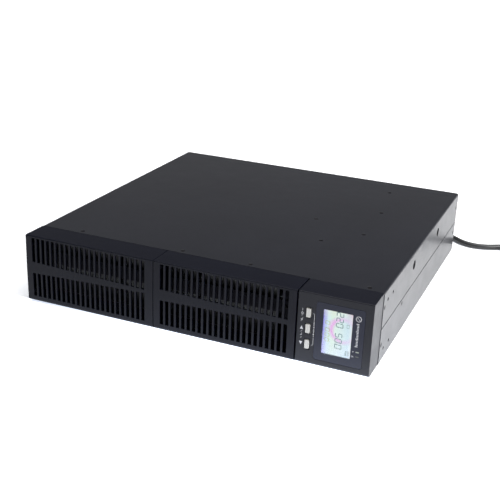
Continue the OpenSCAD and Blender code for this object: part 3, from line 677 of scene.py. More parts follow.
def draw_grille(bm, x0, x1, slots):
    """One shell of even wall thickness whose face is a grid with the slots left open."""
    edge = BEZEL_FRONT + CROWN
    outer, inner = [], []
    for i, (x, (a, b, c, d)) in enumerate(grille_columns(x0, x1, slots)):
        low_arc = arc(edge + LOW_RADIUS, BEZEL_LOW + LOW_RADIUS, LOW_RADIUS, 270, 180, 6)
        top_arc = arc(edge + TOP_RADIUS, BEZEL_TOP - TOP_RADIUS, TOP_RADIUS, 180, 90, 5)
        face = [(face_y(z), z) for z in (a, b, CROWN_Z, c, d)]
        line = [(BEZEL_BACK, BEZEL_LOW)] + low_arc + face + top_arc + [(BEZEL_BACK, BEZEL_TOP)]
        outer.append([bm.verts.new((x, *p)) for p in line])
        xi = {0: x0 + WALL, 2 * SLOTS + 1: x1 - WALL}.get(i, x)
        low_z, top_z = BEZEL_LOW + WALL, BEZEL_TOP - WALL
        face = [(face_y(z) + WALL, z) for z in (low_z, a, b, CROWN_Z, c, d, top_z)]
        inner.append([bm.verts.new((xi, *p)) for p in [(BEZEL_BACK, low_z)] + face + [(BEZEL_BACK, top_z)]])
    first = 1 + 7          # outer row of the lower slots' lower ends
    open_rows = (0, 3)
    last = len(outer) - 1
    for i in range(last):
        slot = i % 2 == 1
        for j in range(len(outer[0]) - 1):
            if not (slot and j - first in open_rows):
                bm.faces.new([outer[i][j], outer[i + 1][j], outer[i + 1][j + 1], outer[i][j + 1]])
        for j in range(len(inner[0]) - 1):
            if not (slot and j - 2 in open_rows):
                bm.faces.new([inner[i][j], inner[i][j + 1], inner[i + 1][j + 1], inner[i + 1][j]])
        for j, k in ((0, 0), (-1, -1)):
            bm.faces.new([outer[i][j], outer[i + 1][j], inner[i + 1][k], inner[i][k]])
        if slot:
            for row in open_rows:
                o, n = first + row, 2 + row
                ring = [(outer[i], inner[i], o, n), (outer[i], inner[i], o + 1, n + 1),
                        (outer[i + 1], inner[i + 1], o + 1, n + 1), (outer[i + 1], inner[i + 1], o, n)]
                for (oa, na, ja, ka), (ob, nb, jb, kb) in zip(ring, ring[1:] + ring[:1]):
                    bm.faces.new([oa[ja], ob[jb], nb[kb], na[ka]])
    for i in (0, last):
        bm.faces.new(outer[i])
        bm.faces.new(inner[i])
        bm.faces.new([outer[i][0], inner[i][0], inner[i][-1], outer[i][-1]])


def post(bm, x, z):
    lathe(bm, "y", (x, z), [(POST_RADIUS, BEZEL_FRONT + 2), (POST_RADIUS, POST_BACK - 2.4),
                            (POST_RADIUS - 0.5, POST_BACK - 1.2), (1.5, POST_BACK)], 20)


def make_grille(name, x0, x1, slots, posts):
    shell = drawn(name, lambda bm: draw_grille(bm, x0, x1, slots))
    soften(shell, 0.4, 3)
    crossed = x1 if x0 < strap_low.x else x0
    cut(shell, lambda bm: block(bm, crossed - 4, crossed + 4, BEZEL_BACK - 3.5, BEZEL_BACK + 1,
                                strap_low.z - 3, strap_high.z + 3))

    def add_posts(bm):
        for x, z in posts:
            post(bm, x, z)
    extra = drawn(name + "_posts", add_posts)
    join(shell, extra)
    return piece(shell, name, MATERIALS["bezel_plastic"], [name])


def join(obj, *others):
    """Adds other drawn objects' shells to an object."""
    bm = bmesh.new()
    bm.from_mesh(obj.data)
    for other in others:
        bm.from_mesh(other.data)
        bpy.data.objects.remove(other)
    bm.to_mesh(obj.data)
    bm.free()
    return obj


make_grille("left_grille", left_low.x, left_high.x,
            {"x": (-210, -55), "ends": [(9.3, 9.3), (39.6, 45.0), (54.2, 49.4), (85, 85)]},
            [(left_low.x + POST_IN, 14), (left_low.x + POST_IN, 76), (left_high.x - POST_IN, 80)])
make_grille("middle_grille", mid_low.x, mid_high.x,
            {"x": (-34.8, 123), "ends": [(9.8, 9.8), (40.4, 44.6), (53.9, 50.6), (85, 85)]},
            [(mid_low.x + POST_IN, 80), (mid_high.x - POST_IN, 14), (mid_high.x - POST_IN, 76)])


# ---- control panel ----

lens_low, lens_high = corners("display_lens")
display_low, display_high = corners("display_module")
buttons = {name: corners(name) for name in ("power_button", "up_button", "down_button")}
PANEL_FACE = lens_low.y
LED_X = 203.6
LED_HEIGHTS = (29.5, 24.0)
LED_WINDOW = (1.9, 0.65)
LENS_CORNER = 3.0
LENS_GAP = 0.18
LENS_T = lens_high.y - lens_low.y


def side_outline(face, inset):
    """Side outline of the flat-faced bezel end; inset draws its hollow."""
    low, top = BEZEL_LOW + inset, BEZEL_TOP - inset
    front = face + inset
    back = BEZEL_BACK + (1 if inset else 0)
    if inset:
        return [(back, low), (front, low), (front, top), (back, top)]
    return ([(back, low)] + arc(front + LOW_RADIUS, low + LOW_RADIUS, LOW_RADIUS, 270, 180, 6)
            + arc(front + TOP_RADIUS, top - TOP_RADIUS, TOP_RADIUS, 180, 90, 5)
            + [(back + JOINT_CLOSE, top), (back + JOINT_CLOSE, low + JOINT_OPEN_TO)])


def lens_outline(margin):
    return rounded(lens_low.x - margin, lens_high.x + margin, lens_low.z - margin, lens_high.z + margin,
                   LENS_CORNER + margin)


def button_middle(name):
    low, high = buttons[name]
    return (low.x + high.x) / 2, (low.z + high.z) / 2


def draw_panel_openings(bm):
    prism(bm, rounded(SCREEN[0] - 1.3, SCREEN[1] + 1.6, SCREEN[2] - 1.8, SCREEN[3] + 2, 1), "y",
          PANEL_FACE + 0.5, PANEL_FACE + 6)
    for name in buttons:
        x, z = button_middle(name)
        prism(bm, rounded(x - 3.35, x + 3.35, z - 6.35, z + 6.35, 1.1), "y", PANEL_FACE - 1, PANEL_FACE + 6)
    for z in LED_HEIGHTS:
        prism(bm, circle(LED_X, z, 1.3, 16), "y", PANEL_FACE + 0.5, PANEL_FACE + 6)


def make_control_panel():
    x0, x1 = panel_low.x, panel_high.x
    shell = extruded("control_panel", side_outline(PANEL_FACE, 0), x0, x1, "x")
    pierce(shell, side_outline(PANEL_FACE, WALL), x0 + WALL, x1 - WALL, "x")
    pierce(shell, lens_outline(LENS_GAP), PANEL_FACE - 1, PANEL_FACE + LENS_T)
    cut(shell, draw_panel_openings)
    soften(shell, 0.35, 3)
    # The panel's pale edge tone of 0.12 is a painted highlight along its edges, brighter than the grilles'
    # edges
    piece(shell, "case", bezel_plastic("panel_plastic", 0.23, 0.12), ["control_panel"])


make_control_panel()


def draw_lens_windows(bm):
    prism(bm, rounded(*SCREEN, 0.6, 3), "y", PANEL_FACE - 1, PANEL_FACE + 3)
    for z in LED_HEIGHTS:
        prism(bm, rounded(LED_X - LED_WINDOW[0], LED_X + LED_WINDOW[0], z - LED_WINDOW[1], z + LED_WINDOW[1],
                          0.3, 3), "y", PANEL_FACE - 1, PANEL_FACE + 3)


plate = extruded("display_lens", lens_outline(-0.02), PANEL_FACE, PANEL_FACE + LENS_T)
cut(plate, draw_lens_windows)
soften(plate, 0.12, 2)
piece(plate, "case", MATERIALS["lens_plastic"], ["display_lens"])

window_outline = rounded(SCREEN[0] + 0.03, SCREEN[1] - 0.03, SCREEN[2] + 0.03, SCREEN[3] - 0.03, 0.58, 3)
window = extruded("lens_window", window_outline, PANEL_FACE + 0.02, PANEL_FACE + LENS_T - 0.1)
piece(window, "case", clear_acrylic(), ["display_lens"])

SCREEN_FACE = display_low.y
module_back = drawn("display_module", lambda bm: block(bm, display_low.x, display_high.x, PANEL_FACE + 3.6,
                                                        display_high.y, display_low.z, display_high.z))
soften(module_back, 0.4)
piece(module_back, "case", MATERIALS["display"], ["display_module"])
glass_outline = rounded(SCREEN[0] - 1, SCREEN[1] + 1.2, SCREEN[2] - 1.5, SCREEN[3] + 1.6, 0.5, 2)
screen = extruded("display_glass", glass_outline, SCREEN_FACE, PANEL_FACE + 3.6)
piece(screen, "case", display_glow(), ["display_module"])


# ---- segments and marks ----

SEGMENTS = {"0": "abcdef", "1": "bc", "2": "abged", "3": "abgcd", "4": "fgbc", "5": "afgcd", "6": "afgedc",
            "7": "abc", "8": "abcdefg", "9": "abcfgd"}


def draw_digit(bm, value, x, z, width, height, stroke, y0, y1):
    """One seven-segment digit, turned to read downwards; x, z is its foot's left corner as it reads."""
    def bar(a0, b0, a1, b1):
        horizontal = abs(a1 - a0) > abs(b1 - b0)
        h = stroke / 2
        if horizontal:
            shape = [(a0 + 0.1, b0), (a0 + h, b0 + h), (a1 - h, b0 + h), (a1 - 0.1, b0), (a1 - h, b0 - h),
                     (a0 + h, b0 - h)]
        else:
            shape = [(a0, b0 + 0.1), (a0 + h, b0 + h), (a0 + h, b1 - h), (a0, b1 - 0.1), (a0 - h, b1 - h),
                     (a0 - h, b0 + h)]
        prism(bm, [(x + b, z - a - 0.08 * b) for a, b in shape], "y", y0, y1)
    h = height / 2
    lines = {"a": (0, height, width, height), "b": (width, h, width, height), "c": (width, 0, width, h),
             "d": (0, 0, width, 0), "e": (0, 0, 0, h), "f": (0, h, 0, height), "g": (0, h, width, h)}
    for letter in SEGMENTS[value]:
        bar(*lines[letter])


def draw_readings(bm):
    top = SCREEN[3]
    y0, y1 = SCREEN_FACE - 0.06, SCREEN_FACE + 0.02
    x = SCREEN[0] + 14.6
    for value, drop in zip("220", (0.9, 7.3, 13.6)):
        draw_digit(bm, value, x, top - drop, 4.3, 7.4, 0.95, y0, y1)
    for value, drop in zip("500", (25.4, 31.7, 38.9)):
        draw_digit(bm, value, x - 0.3, top - drop, 4.3, 7.4, 0.95, y0, y1)
    prism(bm, circle(x - 0.1, top - 37.6, 0.55, 10), "y", y0, y1)


def draw_level_column(bm):
    top = SCREEN[3]
    y0, y1 = SCREEN_FACE - 0.06, SCREEN_FACE + 0.02
    for value, drop in zip("01000", (13.2, 18.2, 21.6, 27.6, 33.4)):
        draw_digit(bm, value, SCREEN[0] + 2.6, top - drop, 3.6, 4.6, 0.6, y0, y1)


def draw_small_icons(bm):
    """A load bar's ticks and a small battery outline."""
    y0, y1 = SCREEN_FACE - 0.06, SCREEN_FACE + 0.02
    x1, low = SCREEN[1], SCREEN[2]
    for i in range(4):
        block(bm, x1 - 6.2, x1 - 4.4, y0, y1, low + 2.4 + i * 1.5, low + 3.3 + i * 1.5)
        block(bm, x1 - 3.3, x1 - 1.9, y0, y1, low + 2.4 + i * 1.5, low + 3.3 + i * 1.5)
    block(bm, x1 - 6.4, x1 - 6.0, y0, y1, low + 35.2, low + 38.6)
    block(bm, x1 - 3.9, x1 - 3.5, y0, y1, low + 35.2, low + 38.6)
    block(bm, x1 - 6.4, x1 - 3.5, y0, y1, low + 38.6, low + 39.0)
    block(bm, x1 - 6.4, x1 - 3.5, y0, y1, low + 34.8, low + 35.2)


def flat_mark(name, draw, material):
    piece(drawn(name, draw), "case", material)


ink_dark = surface("segment_ink", (0.02, 0.08, 0.09), 0.5, grain=0.4, depth=0.003,
                   glow=(0.12, 0.36, 0.36), glow_strength=0.22)
ink_level = surface("level_ink", (0.12, 0.18, 0.04), 0.5, grain=0.4, depth=0.003,
                    glow=(0.46, 0.54, 0.16), glow_strength=0.42)
flat_mark("screen_readings", draw_readings, ink_dark)
flat_mark("screen_level", draw_level_column, ink_level)
flat_mark("screen_icons", draw_small_icons, ink_dark)

PRINT_T = 0.05
print_white = surface("print_white", (0.46, 0.46, 0.48), 0.5, grain=0.3, depth=0.004, tone=0.05)


def ring_arc(bm, x, z, radius, start, stop, width, y0, y1, steps=20):
    """A flat arc of a ring in the X-Z plane, angles in degrees."""
    outer = arc(x, z, radius + width / 2, start, stop, steps)
    inner = arc(x, z, radius - width / 2, start, stop, steps)
    prism(bm, outer + inner[::-1], "y", y0, y1)


def stroke(bm, a, b, width, y0, y1):
    """A straight flat line in the X-Z plane."""
    direction = (Vector(b) - Vector(a)).normalized()
    across = Vector((-direction.y, direction.x)) * width / 2
    prism(bm, [tuple(Vector(a) + across), tuple(Vector(b) + across), tuple(Vector(b) - across),
               tuple(Vector(a) - across)], "y", y0, y1)


def draw_panel_print(bm):
    """Marks beside the keys: on, silence, up, enter and down, and the bracket that ties two keys."""
    y0, y1 = PANEL_FACE - PRINT_T, PANEL_FACE + 0.02
    x, top = button_middle("power_button")
    _, middle = button_middle("up_button")
    _, low = button_middle("down_button")
    mark = x - 7.1
    ring_arc(bm, mark, top - 1.4, 1.15, 125, 415, 0.42, y0, y1)
    block(bm, mark - 0.2, mark + 0.2, y0, y1, top - 1.2, top + 0.6)
    block(bm, mark - 0.22, mark + 0.22, y0, y1, top + 1.9, top + 4.2)
    stroke(bm, (mark - 0.9, top - 4.6), (mark + 0.7, top - 3.4), 0.34, y0, y1)
    horn = [(-1.3, 8.6), (-0.5, 8.6), (0.6, 7.4), (0.6, 10.4), (-0.5, 9.4), (-1.3, 9.4)]
    prism(bm, [(mark + dx, top - dz) for dx, dz in horn], "y", y0, y1)
    stroke(bm, (mark - 1.3, top - 11.6), (mark + 1.0, top - 6.6), 0.32, y0, y1)
    prism(bm, [(mark - 1.9, middle - 1.9), (mark + 1.9, middle - 1.9), (mark, middle + 2.1)], "y", y0, y1)
    stroke(bm, (mark - 0.8, middle - 5.0), (mark + 0.8, middle - 3.8), 0.34, y0, y1)
    stroke(bm, (mark + 0.7, middle - 6.4), (mark + 0.7, middle - 9.0), 0.34, y0, y1)
    stroke(bm, (mark + 0.7, middle - 9.0), (mark - 0.9, middle - 9.0), 0.34, y0, y1)
    arrow = [(-1.4, 9.0), (-0.5, 8.2), (-0.5, 9.8)]
    prism(bm, [(mark + dx, middle - dz) for dx, dz in arrow], "y", y0, y1)
    stroke(bm, (mark - 0.8, middle - 12.6), (mark + 0.8, middle - 11.4), 0.34, y0, y1)
    prism(bm, [(mark - 1.9, low + 2.1), (mark + 1.9, low + 2.1), (mark, low - 1.9)], "y", y0, y1)
    tie = x + 6.9
    line = 0.34
    ring_arc(bm, tie - 1.6, top - 1.4, 1.6, 0, 90, line, y0, y1, 8)
    stroke(bm, (tie - 2.0, top + 0.2), (tie - 1.6, top + 0.2), line, y0, y1)
    stroke(bm, (tie, top - 1.4), (tie, top - 8.2), line, y0, y1)
    stroke(bm, (tie, low + 9.4), (tie, low + 1.4), line, y0, y1)
    ring_arc(bm, tie - 1.6, low + 1.4, 1.6, 270, 360, line, y0, y1, 8)
    stroke(bm, (tie - 2.0, low - 0.2), (tie - 1.6, low - 0.2), line, y0, y1)
    start, stop = top - 9.6, low + 11.0
    count = 9
    for i in range(count):
        z = start + (stop - start) * i / (count - 1)
        wide = 0.62 if i % 2 else 0.36
        block(bm, tie - wide, tie + wide, y0, y1, z - 0.55, z + 0.55)


def draw_lens_print(bm):
    """A ring with a wave for the inverter, a plain load scale, and two lamps' marks."""
    y0, y1 = PANEL_FACE - PRINT_T, PANEL_FACE + 0.02
    x, z = 202.3, 68.5
    ring_arc(bm, x, z, 2.9, 0, 359.9, 0.6, y0, y1, 32)
    wave = [(x - 1.8 + 3.6 * i / 12, z + 0.95 * math.sin(2 * math.pi * i / 12)) for i in range(13)]
    outline = [(a, b + 0.3) for a, b in wave] + [(a, b - 0.3) for a, b in reversed(wave)]
    prism(bm, outline, "y", y0, y1)
    ticks = 16
    for i in range(ticks):
        height = 62.6 - 26.4 * i / (ticks - 1)
        wide = 1.5 if i % 5 == 0 else 1.05
        block(bm, 203.3 - wide * 2, 203.3, y0, y1, height - 0.42, height + 0.42)
    ring_arc(bm, 198.0, LED_HEIGHTS[1] - 0.4, 0.75, 0, 359.9, 0.3, y0, y1, 16)
    block(bm, 198.9, 200.0, y0, y1, LED_HEIGHTS[1] - 0.55, LED_HEIGHTS[1] - 0.25)
    flash = [(198.2, -0.9), (199.6, -0.1), (198.9, 0), (199.4, 0.9), (198.0, 0.1), (198.7, 0)]
    prism(bm, [(x, LED_HEIGHTS[0] + dz) for x, dz in flash], "y", y0, y1)


flat_mark("panel_print", draw_panel_print, print_white)
flat_mark("lens_print", draw_lens_print, print_white)


def glowing(name, base, glow, strength):
    nodes = Nodes(name)
    nodes.set(base=base, roughness=nodes.spread(nodes.noise(300.0), 0.25, 0.35), glow=glow,
              glow_strength=strength)
    return nodes.material


def draw_light_pipe(bm, z):
    prism(bm, rounded(LED_X - LED_WINDOW[0] + 0.04, LED_X + LED_WINDOW[0] - 0.04, z - LED_WINDOW[1] + 0.04,
                      z + LED_WINDOW[1] - 0.04, 0.26, 3), "y", PANEL_FACE + 0.05, PANEL_FACE + LENS_T)
    lathe(bm, "y", (LED_X, z), [(1.1, PANEL_FACE + LENS_T), (1.1, BEZEL_FRONT + 12)], 16)


for name, z, glow, strength in (("light_pipe_upper", LED_HEIGHTS[0], (0.50, 0.60, 0.44), 0.12),
                                ("light_pipe_lower", LED_HEIGHTS[1], (0.16, 0.20, 0.17), 0.0)):
    lamp = drawn(name, lambda bm: draw_light_pipe(bm, z))
    base = tuple(0.15 * v + 0.8 * strength for v in glow)
    piece(lamp, "case", glowing(name, base, glow, strength), ["light_pipes"])


def make_button(name, body):
    low, high = buttons[name]
    x, z = button_middle(name)

    def draw(bm):
        prism(bm, rounded(x - 2.5, x + 2.5, z - 5.2, z + 5.2, 0.8), "y", low.y, PANEL_FACE + 3.6)
        block(bm, low.x, high.x, PANEL_FACE + 3.6, PANEL_FACE + 4.8, low.z, high.z)
        lathe(bm, "y", (x, z), [(1.5, PANEL_FACE + 4.8), (1.5, high.y)], 16)
    button = drawn(name, draw)
    soften(button, 0.35, 3)
    piece(button, body, MATERIALS["button_white"], [name])


for name in buttons:
    make_button(name, name.replace("button", "key"))


# ---- steel case ----

SIDE_SCREWS = [(5, 69), (5, 23.5), (90, 39.6), (389, 69), (389, 31.5)]
TOP_SCREWS = [(73, 192), (105, 119), (146, 165), (143, 258), (129, 351),
              (-165, 6.5), (-27.5, 6.5), (59, 6.5), (200, 6.5)]
EAR_HOLES = [(17, 14.5), (17, 74.5), (39, 14.5), (39, 74.5)]
PLUG_HOLES = [(138, 71), (268, 71)]
HEAD_R, SHANK_R = 2.9, 1.5
STRAP_SCREWS = (-209, 107)
EAR_R, PLUG_R = 2.1, 6.0
SEAM_GAP = 0.45
LIP_LOW = 35
# Sections given as radius and height above the face
SCREW_BORE = [(HEAD_R + 0.35, 0.3), (SHANK_R, -SHEET + 0.05), (SHANK_R, -4)]
PLUG_SECTION = [(0, -2.0), (3.2, -1.9), (4.9, -1.3), (5.5, -0.7), (5.95, -0.9), (5.95, -3.4), (4.6, -4.0),
                (4.4, -2.8), (0, -2.8)]


def sheet_outline(top):
    """Section of the bent sheet, in X and Z, above or below the seam."""
    side, inner = CASE_SIDE, CASE_SIDE - SHEET
    if top:
        edge, end = SEAM_TOP + SEAM_GAP, CASE_TOP
        outer = arc(side - BEND, end - BEND, BEND, 0, 90, 6)
        hollow = arc(side - BEND, end - BEND, BEND - SHEET, 0, 90, 5)
    else:
        edge, end = SEAM_TOP - 2 * SEAM_GAP, 0.0
        outer = arc(side - BEND, end + BEND, BEND, 0, -90, 6)
        hollow = arc(side - BEND, end + BEND, BEND - SHEET, 0, -90, 5)
    right = [(side, edge)] + outer
    back = [(inner, edge)] + hollow
    left = [(-x, z) for x, z in reversed(right)]
    inside = [(-x, z) for x, z in back]
    return right + left + inside + list(reversed(back))


def side_holes(bm):
    """Cutters through both side walls."""
    for sign in (1, -1):
        def drill(place, profile):
            y, z = CASE_FRONT + place[0], place[1]
            lathe(bm, "x", (y, z), [(r, sign * (CASE_SIDE + x)) for r, x in profile], 24)
        for place in SIDE_SCREWS:
            drill(place, SCREW_BORE)
        for place in EAR_HOLES:
            drill(place, [(EAR_R, 1), (EAR_R, -5)])
        for place in PLUG_HOLES:
            drill(place, [(PLUG_R, 1), (PLUG_R, -3)])


def top_holes(bm):
    for x, y in TOP_SCREWS:
        lathe(bm, "z", (x, CASE_FRONT + y), [(r, CASE_TOP + rise) for r, rise in SCREW_BORE], 24)


def side_walls(bm, outer, inner, *rest):
    """A flat wall at each side, between two distances from the middle."""
    for sign in (1, -1):
        block(bm, *sorted((sign * outer, sign * inner)), *rest)


def make_cover():
    cover = extruded("top_cover", sheet_outline(True), CASE_FRONT, CASE_BACK)
    cut(cover, side_holes)
    cut(cover, top_holes)
    soften(cover, 0.16, 2)
    piece(cover, "case", MATERIALS["case_paint"], ["top_cover"], smooth=50)


def make_tray():
    tray = extruded("base_tray", sheet_outline(False), CASE_FRONT, CASE_BACK)
    cut(tray, side_holes)
    soften(tray, 0.16, 2)
    piece(tray, "case", MATERIALS["case_paint"], ["base_tray"], smooth=50)

    # The tray's lips, seen through the seam, get the dark matt finish as painted shade that darkens the seam
    # line
    lips = drawn("tray_lips", lambda bm: side_walls(bm, CASE_SIDE - SHEET - 0.02, CASE_SIDE - 2 * SHEET,
                                                    CASE_FRONT + 2, CASE_BACK - SHEET - 0.2, LIP_LOW,
                                                    tray_high.z))
    cut(lips, side_holes)
    soften(lips, 0.16, 2)
    piece(lips, "case", MATERIALS["dull_steel"], ["base_tray"])


make_cover()
make_tray()

dull_rubber = surface("dull_rubber", (0.007, 0.007, 0.008), 0.8, grain=0.6, depth=0.02, specular=0.1)


def make_hole_plugs():
    """Soft plugs with a dished face, pushed into the two round holes of each side wall."""
    def draw(bm):
        for sign in (1, -1):
            for y, z in PLUG_HOLES:
                profile = [(r, sign * (CASE_SIDE + x)) for r, x in PLUG_SECTION]
                lathe(bm, "x", (CASE_FRONT + y, z), profile, 32)
    plugs = drawn("side_hole_plugs", draw)
    piece(plugs, "case", dull_rubber, ["side_hole_plugs"], smooth=50)


make_hole_plugs()


# ---- rear panel and fittings ----

rear_low, rear_high = corners("rear_panel")
REAR = rear_high.y
REAR_IN = REAR - SHEET
FAN_BORE, FAN_HOLE, FAN_BOLT = 38, 35.75, 2.1
OUTLET_PITCH = 34
PIN_SLOTS = ((-7, -1), (0, 2), (7, -1))


def middle(node):
    low, high = corners(node)
    return (low.x + high.x) / 2, (low.z + high.z) / 2


FANS = {side: middle("fan_frame_" + side) for side in ("left", "right")}
OUTLETS = {name: middle(name) for name in ("upper_outlets", "lower_outlets")}
BREAKER, BUSHING, SOCKET = middle("breaker_body"), middle("cord_bushing"), middle("battery_socket")
SIGNAL, USB, ALARM = middle("signal_port"), middle("usb_port"), middle("emergency_off_terminal")
SLOT_COVER = middle("card_slot_cover")
COVER_SCREWS = [(SLOT_COVER[0] + dx, SLOT_COVER[1]) for dx in (-20, 20)]


def about(place, half_x, half_z, radius=0.5):
    """Rounded outline about a place of the rear."""
    x, z = place
    return rounded(x - half_x, x + half_x, z - half_z, z + half_z, radius, 3)


def fan_corners(place):
    return [(place[0] + a * FAN_HOLE, place[1] + b * FAN_HOLE) for a in (-1, 1) for b in (-1, 1)]


def washer(bm, place, inner, outer, y0, y1, steps=48):
    """A round ring of square section about an axis along Y."""
    rings = [[bm.verts.new((a, y, b)) for a, b in circle(*place, radius, steps)]
             for radius, y in ((outer, y0), (outer, y1), (inner, y1), (inner, y0))]
    for one, two in zip(rings, rings[1:] + rings[:1]):
        for i in range(steps):
            j = (i + 1) % steps
            bm.faces.new([one[i], one[j], two[j], two[i]])


def finished(name, obj, slot, body="case", smooth=40):
    """Hands over a piece that replaces the CAD node of its own name."""
    return piece(obj, body, MATERIALS[slot], [name], smooth)


def draw_rear_openings(bm):
    windows = [(place, 49, 12) for place in OUTLETS.values()]
    windows += [(SIGNAL, 9, 4.6), (USB, 6, 5.5), (ALARM, 6, 4.5), (SLOT_COVER, 17, 6.5), (SOCKET, 14, 8)]
    for place, half_x, half_z in windows:
        prism(bm, about(place, half_x, half_z, 0.2), "y", REAR_IN - 1, REAR + 1)
    holes = [(place, FAN_BORE) for place in FANS.values()] + [(BREAKER, 6.1), (BUSHING, 7.1)]
    holes += [(hole, FAN_BOLT) for place in FANS.values() for hole in fan_corners(place)]
    holes += [(hole, 1.6) for hole in COVER_SCREWS]
    for place, radius in holes:
        prism(bm, circle(*place, radius, 48 if radius > 10 else 20), "y", REAR_IN - 1, REAR + 1)


def make_rear_panel():
    x, low, high = rear_high.x, rear_low.z, rear_high.z
    sheet = extruded("rear_panel", rounded(-x, x, low, high, 2), REAR_IN, REAR)
    cut(sheet, draw_rear_openings)
    edge = x - SHEET - 0.2
    flanges = drawn("rear_flanges", lambda bm: side_walls(bm, edge, edge - SHEET, rear_low.y, REAR_IN + 0.3,
                                                          4, CASE_TOP - 4))
    cut(flanges, side_holes)
    join(sheet, flanges)
    soften(sheet, 0.2)
    finished("rear_panel", sheet, "case_paint", smooth=50)


make_rear_panel()


def draw_blade(bm, place, start, low, high):
    """One curved and twisted fan blade."""
    rows, columns, half = 6, 8, 0.75

    def spot(u, v):
        radius = 15.5 + (FAN_BORE - 1.7 - 15.5) * u
        turn = start + 0.16 * u * u + (0.5 - v) * (1.02 - 0.32 * u)
        y = low + 1.3 + (high - low - 2.6) * (v + 0.16 * math.sin(math.pi * v)) / 1.16
        return Vector((place[0] + radius * math.cos(turn), y, place[1] + radius * math.sin(turn)))

    faces = {}
    for side in (1, -1):
        for i in range(rows):
            for j in range(columns):
                u, v = i / (rows - 1), j / (columns - 1)
                across = (spot(u + 0.01, v) - spot(u, v)).cross(spot(u, v + 0.01) - spot(u, v)).normalized()
                thin = half * (0.35 + 0.65 * math.sin(math.pi * (0.12 + 0.76 * v)))
                faces[side, i, j] = bm.verts.new(spot(u, v) + across * side * thin)
    for i in range(rows - 1):
        for j in range(columns - 1):
            for side in (1, -1):
                bm.faces.new([faces[side, i + a, j + b] for a, b in ((0, 0), (1, 0), (1, 1), (0, 1))][::side])
    border = ([(0, j) for j in range(columns)] + [(i, columns - 1) for i in range(1, rows)]
              + [(rows - 1, j) for j in range(columns - 2, -1, -1)]
              + [(i, 0) for i in range(rows - 2, 0, -1)])
    for one, two in zip(border, border[1:] + border[:1]):
        bm.faces.new([faces[(1, *one)], faces[(1, *two)], faces[(-1, *two)], faces[(-1, *one)]])


def make_fan(side, place):
    frame_low, frame_high = corners("fan_frame_" + side)
    rotor_low, rotor_high = corners("fan_rotor_" + side)
    front, back = frame_low.y, frame_high.y
    plates = drawn("fan_frame", lambda bm: [prism(bm, about(place, 40, 40, 3), "y", y, y + 3.4)
                                            for y in (front, back - 3.4)])
    pierce(plates, circle(*place, FAN_BORE, 64), front - 1, back + 1)
    cut(plates, lambda bm: [prism(bm, circle(*hole, FAN_BOLT, 16), "y", front - 1, back + 1)
                            for hole in fan_corners(place)])
    soften(plates, 0.4)

    def draw_inside(bm):
        washer(bm, place, FAN_BORE, 39.8, front + 1, back - 1, 64)
        lathe(bm, "y", place, [(0, back - 0.6), (1.8, back - 0.6), (1.8, back - 4), (16.5, back - 4),
                               (17, back - 3.5), (17, back - 0.6), (16.5, back), (0, back)], 40)
        for turn in range(20, 380, 90):
            angle = math.radians(-turn)
            ends = [(place[0] + r * math.cos(angle), place[1] + r * math.sin(angle)) for r in (15, 38.6)]
            stroke(bm, *ends, 4, back - 4, back - 0.1)
    inside = drawn("fan_inside", draw_inside)
    soften(inside, 0.3)
    finished("fan_frame_" + side, join(plates, inside), "fan_plastic")

    top = rotor_high.y - 4

    def draw_rotor(bm):
        lathe(bm, "y", place, [(0, rotor_low.y), (14.4, rotor_low.y), (15.8, rotor_low.y + 0.5),
                               (16.5, rotor_low.y + 1.9), (16.5, top - 0.5), (16, top), (1.5, top),
                               (1.5, rotor_high.y), (0, rotor_high.y)], 48)
        for i in range(7):
            draw_blade(bm, place, 2 * math.pi * i / 7, rotor_low.y, top)
    finished("fan_rotor_" + side, drawn("fan_rotor", draw_rotor), "fan_plastic", side + "_fan")

    def draw_guard(bm):
        for radius in (9, 18.4, 27.8, 37.2):
            tube(bm, [(a, REAR + 2.9, b) for a, b in circle(*place, radius, 48)], 0.9, 8, True)
        for hole in fan_corners(place):
            out = (Vector(hole) - Vector(place)).normalized()
            path = [(7, 1.5), (37.2, 1.5), (41, 1.3), (44, 0.95), (47.5, 0.92)]
            tube(bm, [(place[0] + out.x * r, REAR + y, place[1] + out.y * r) for r, y in path], 0.9, 8)
            tube(bm, [(a, REAR + 0.92, b) for a, b in circle(*hole, 3.15, 20)], 0.9, 8, True)
    finished("fan_guard_" + side, drawn("fan_guard", draw_guard), "zinc_steel")


for side, place in FANS.items():
    make_fan(side, place)


RECESS = 0.38
# A screw's section from the tip to the head: radius and height above the face that it closes
COUNTERSUNK = [(0, -7), (1.45, -7), (1.45, -1.15), (2.72, -0.1), (2.62, -0.03), (0, -0.03)]


def pan_section(head, rise, shank, length):
    """Section of a pan head screw."""
    return [(0, -length), (shank, -length), (shank, 0), (head, 0), (head, rise * 0.4),
            (head * 0.93, rise * 0.72), (head * 0.7, rise * 0.96), (0, rise)]


def make_screws(name, screws):
    """Turned screws with a cross recess; each is (axis, place, face, way out, section)."""
    def draw(bm):
        for axis, place, face, way, section in screws:
            lathe(bm, axis, place, [(r, face + way * rise) for r, rise in section], 24)

    def draw_bars(long_a):
        def draw_all(bm):
            for axis, (a, b), face, way, section in screws:
                half = 0.58 * max(r for r, _ in section)
                wide, high = (half, RECESS) if long_a else (RECESS, half)
                top = face + way * section[-1][1]
                prism(bm, rectangle(a - wide, a + wide, b - high, b + high), axis,
                      *sorted((top - way * 0.9, top + way)))
        return draw_all
    obj = drawn(name, draw)
    cut(obj, draw_bars(True))
    cut(obj, draw_bars(False))
    finished(name, obj, "screw_black")


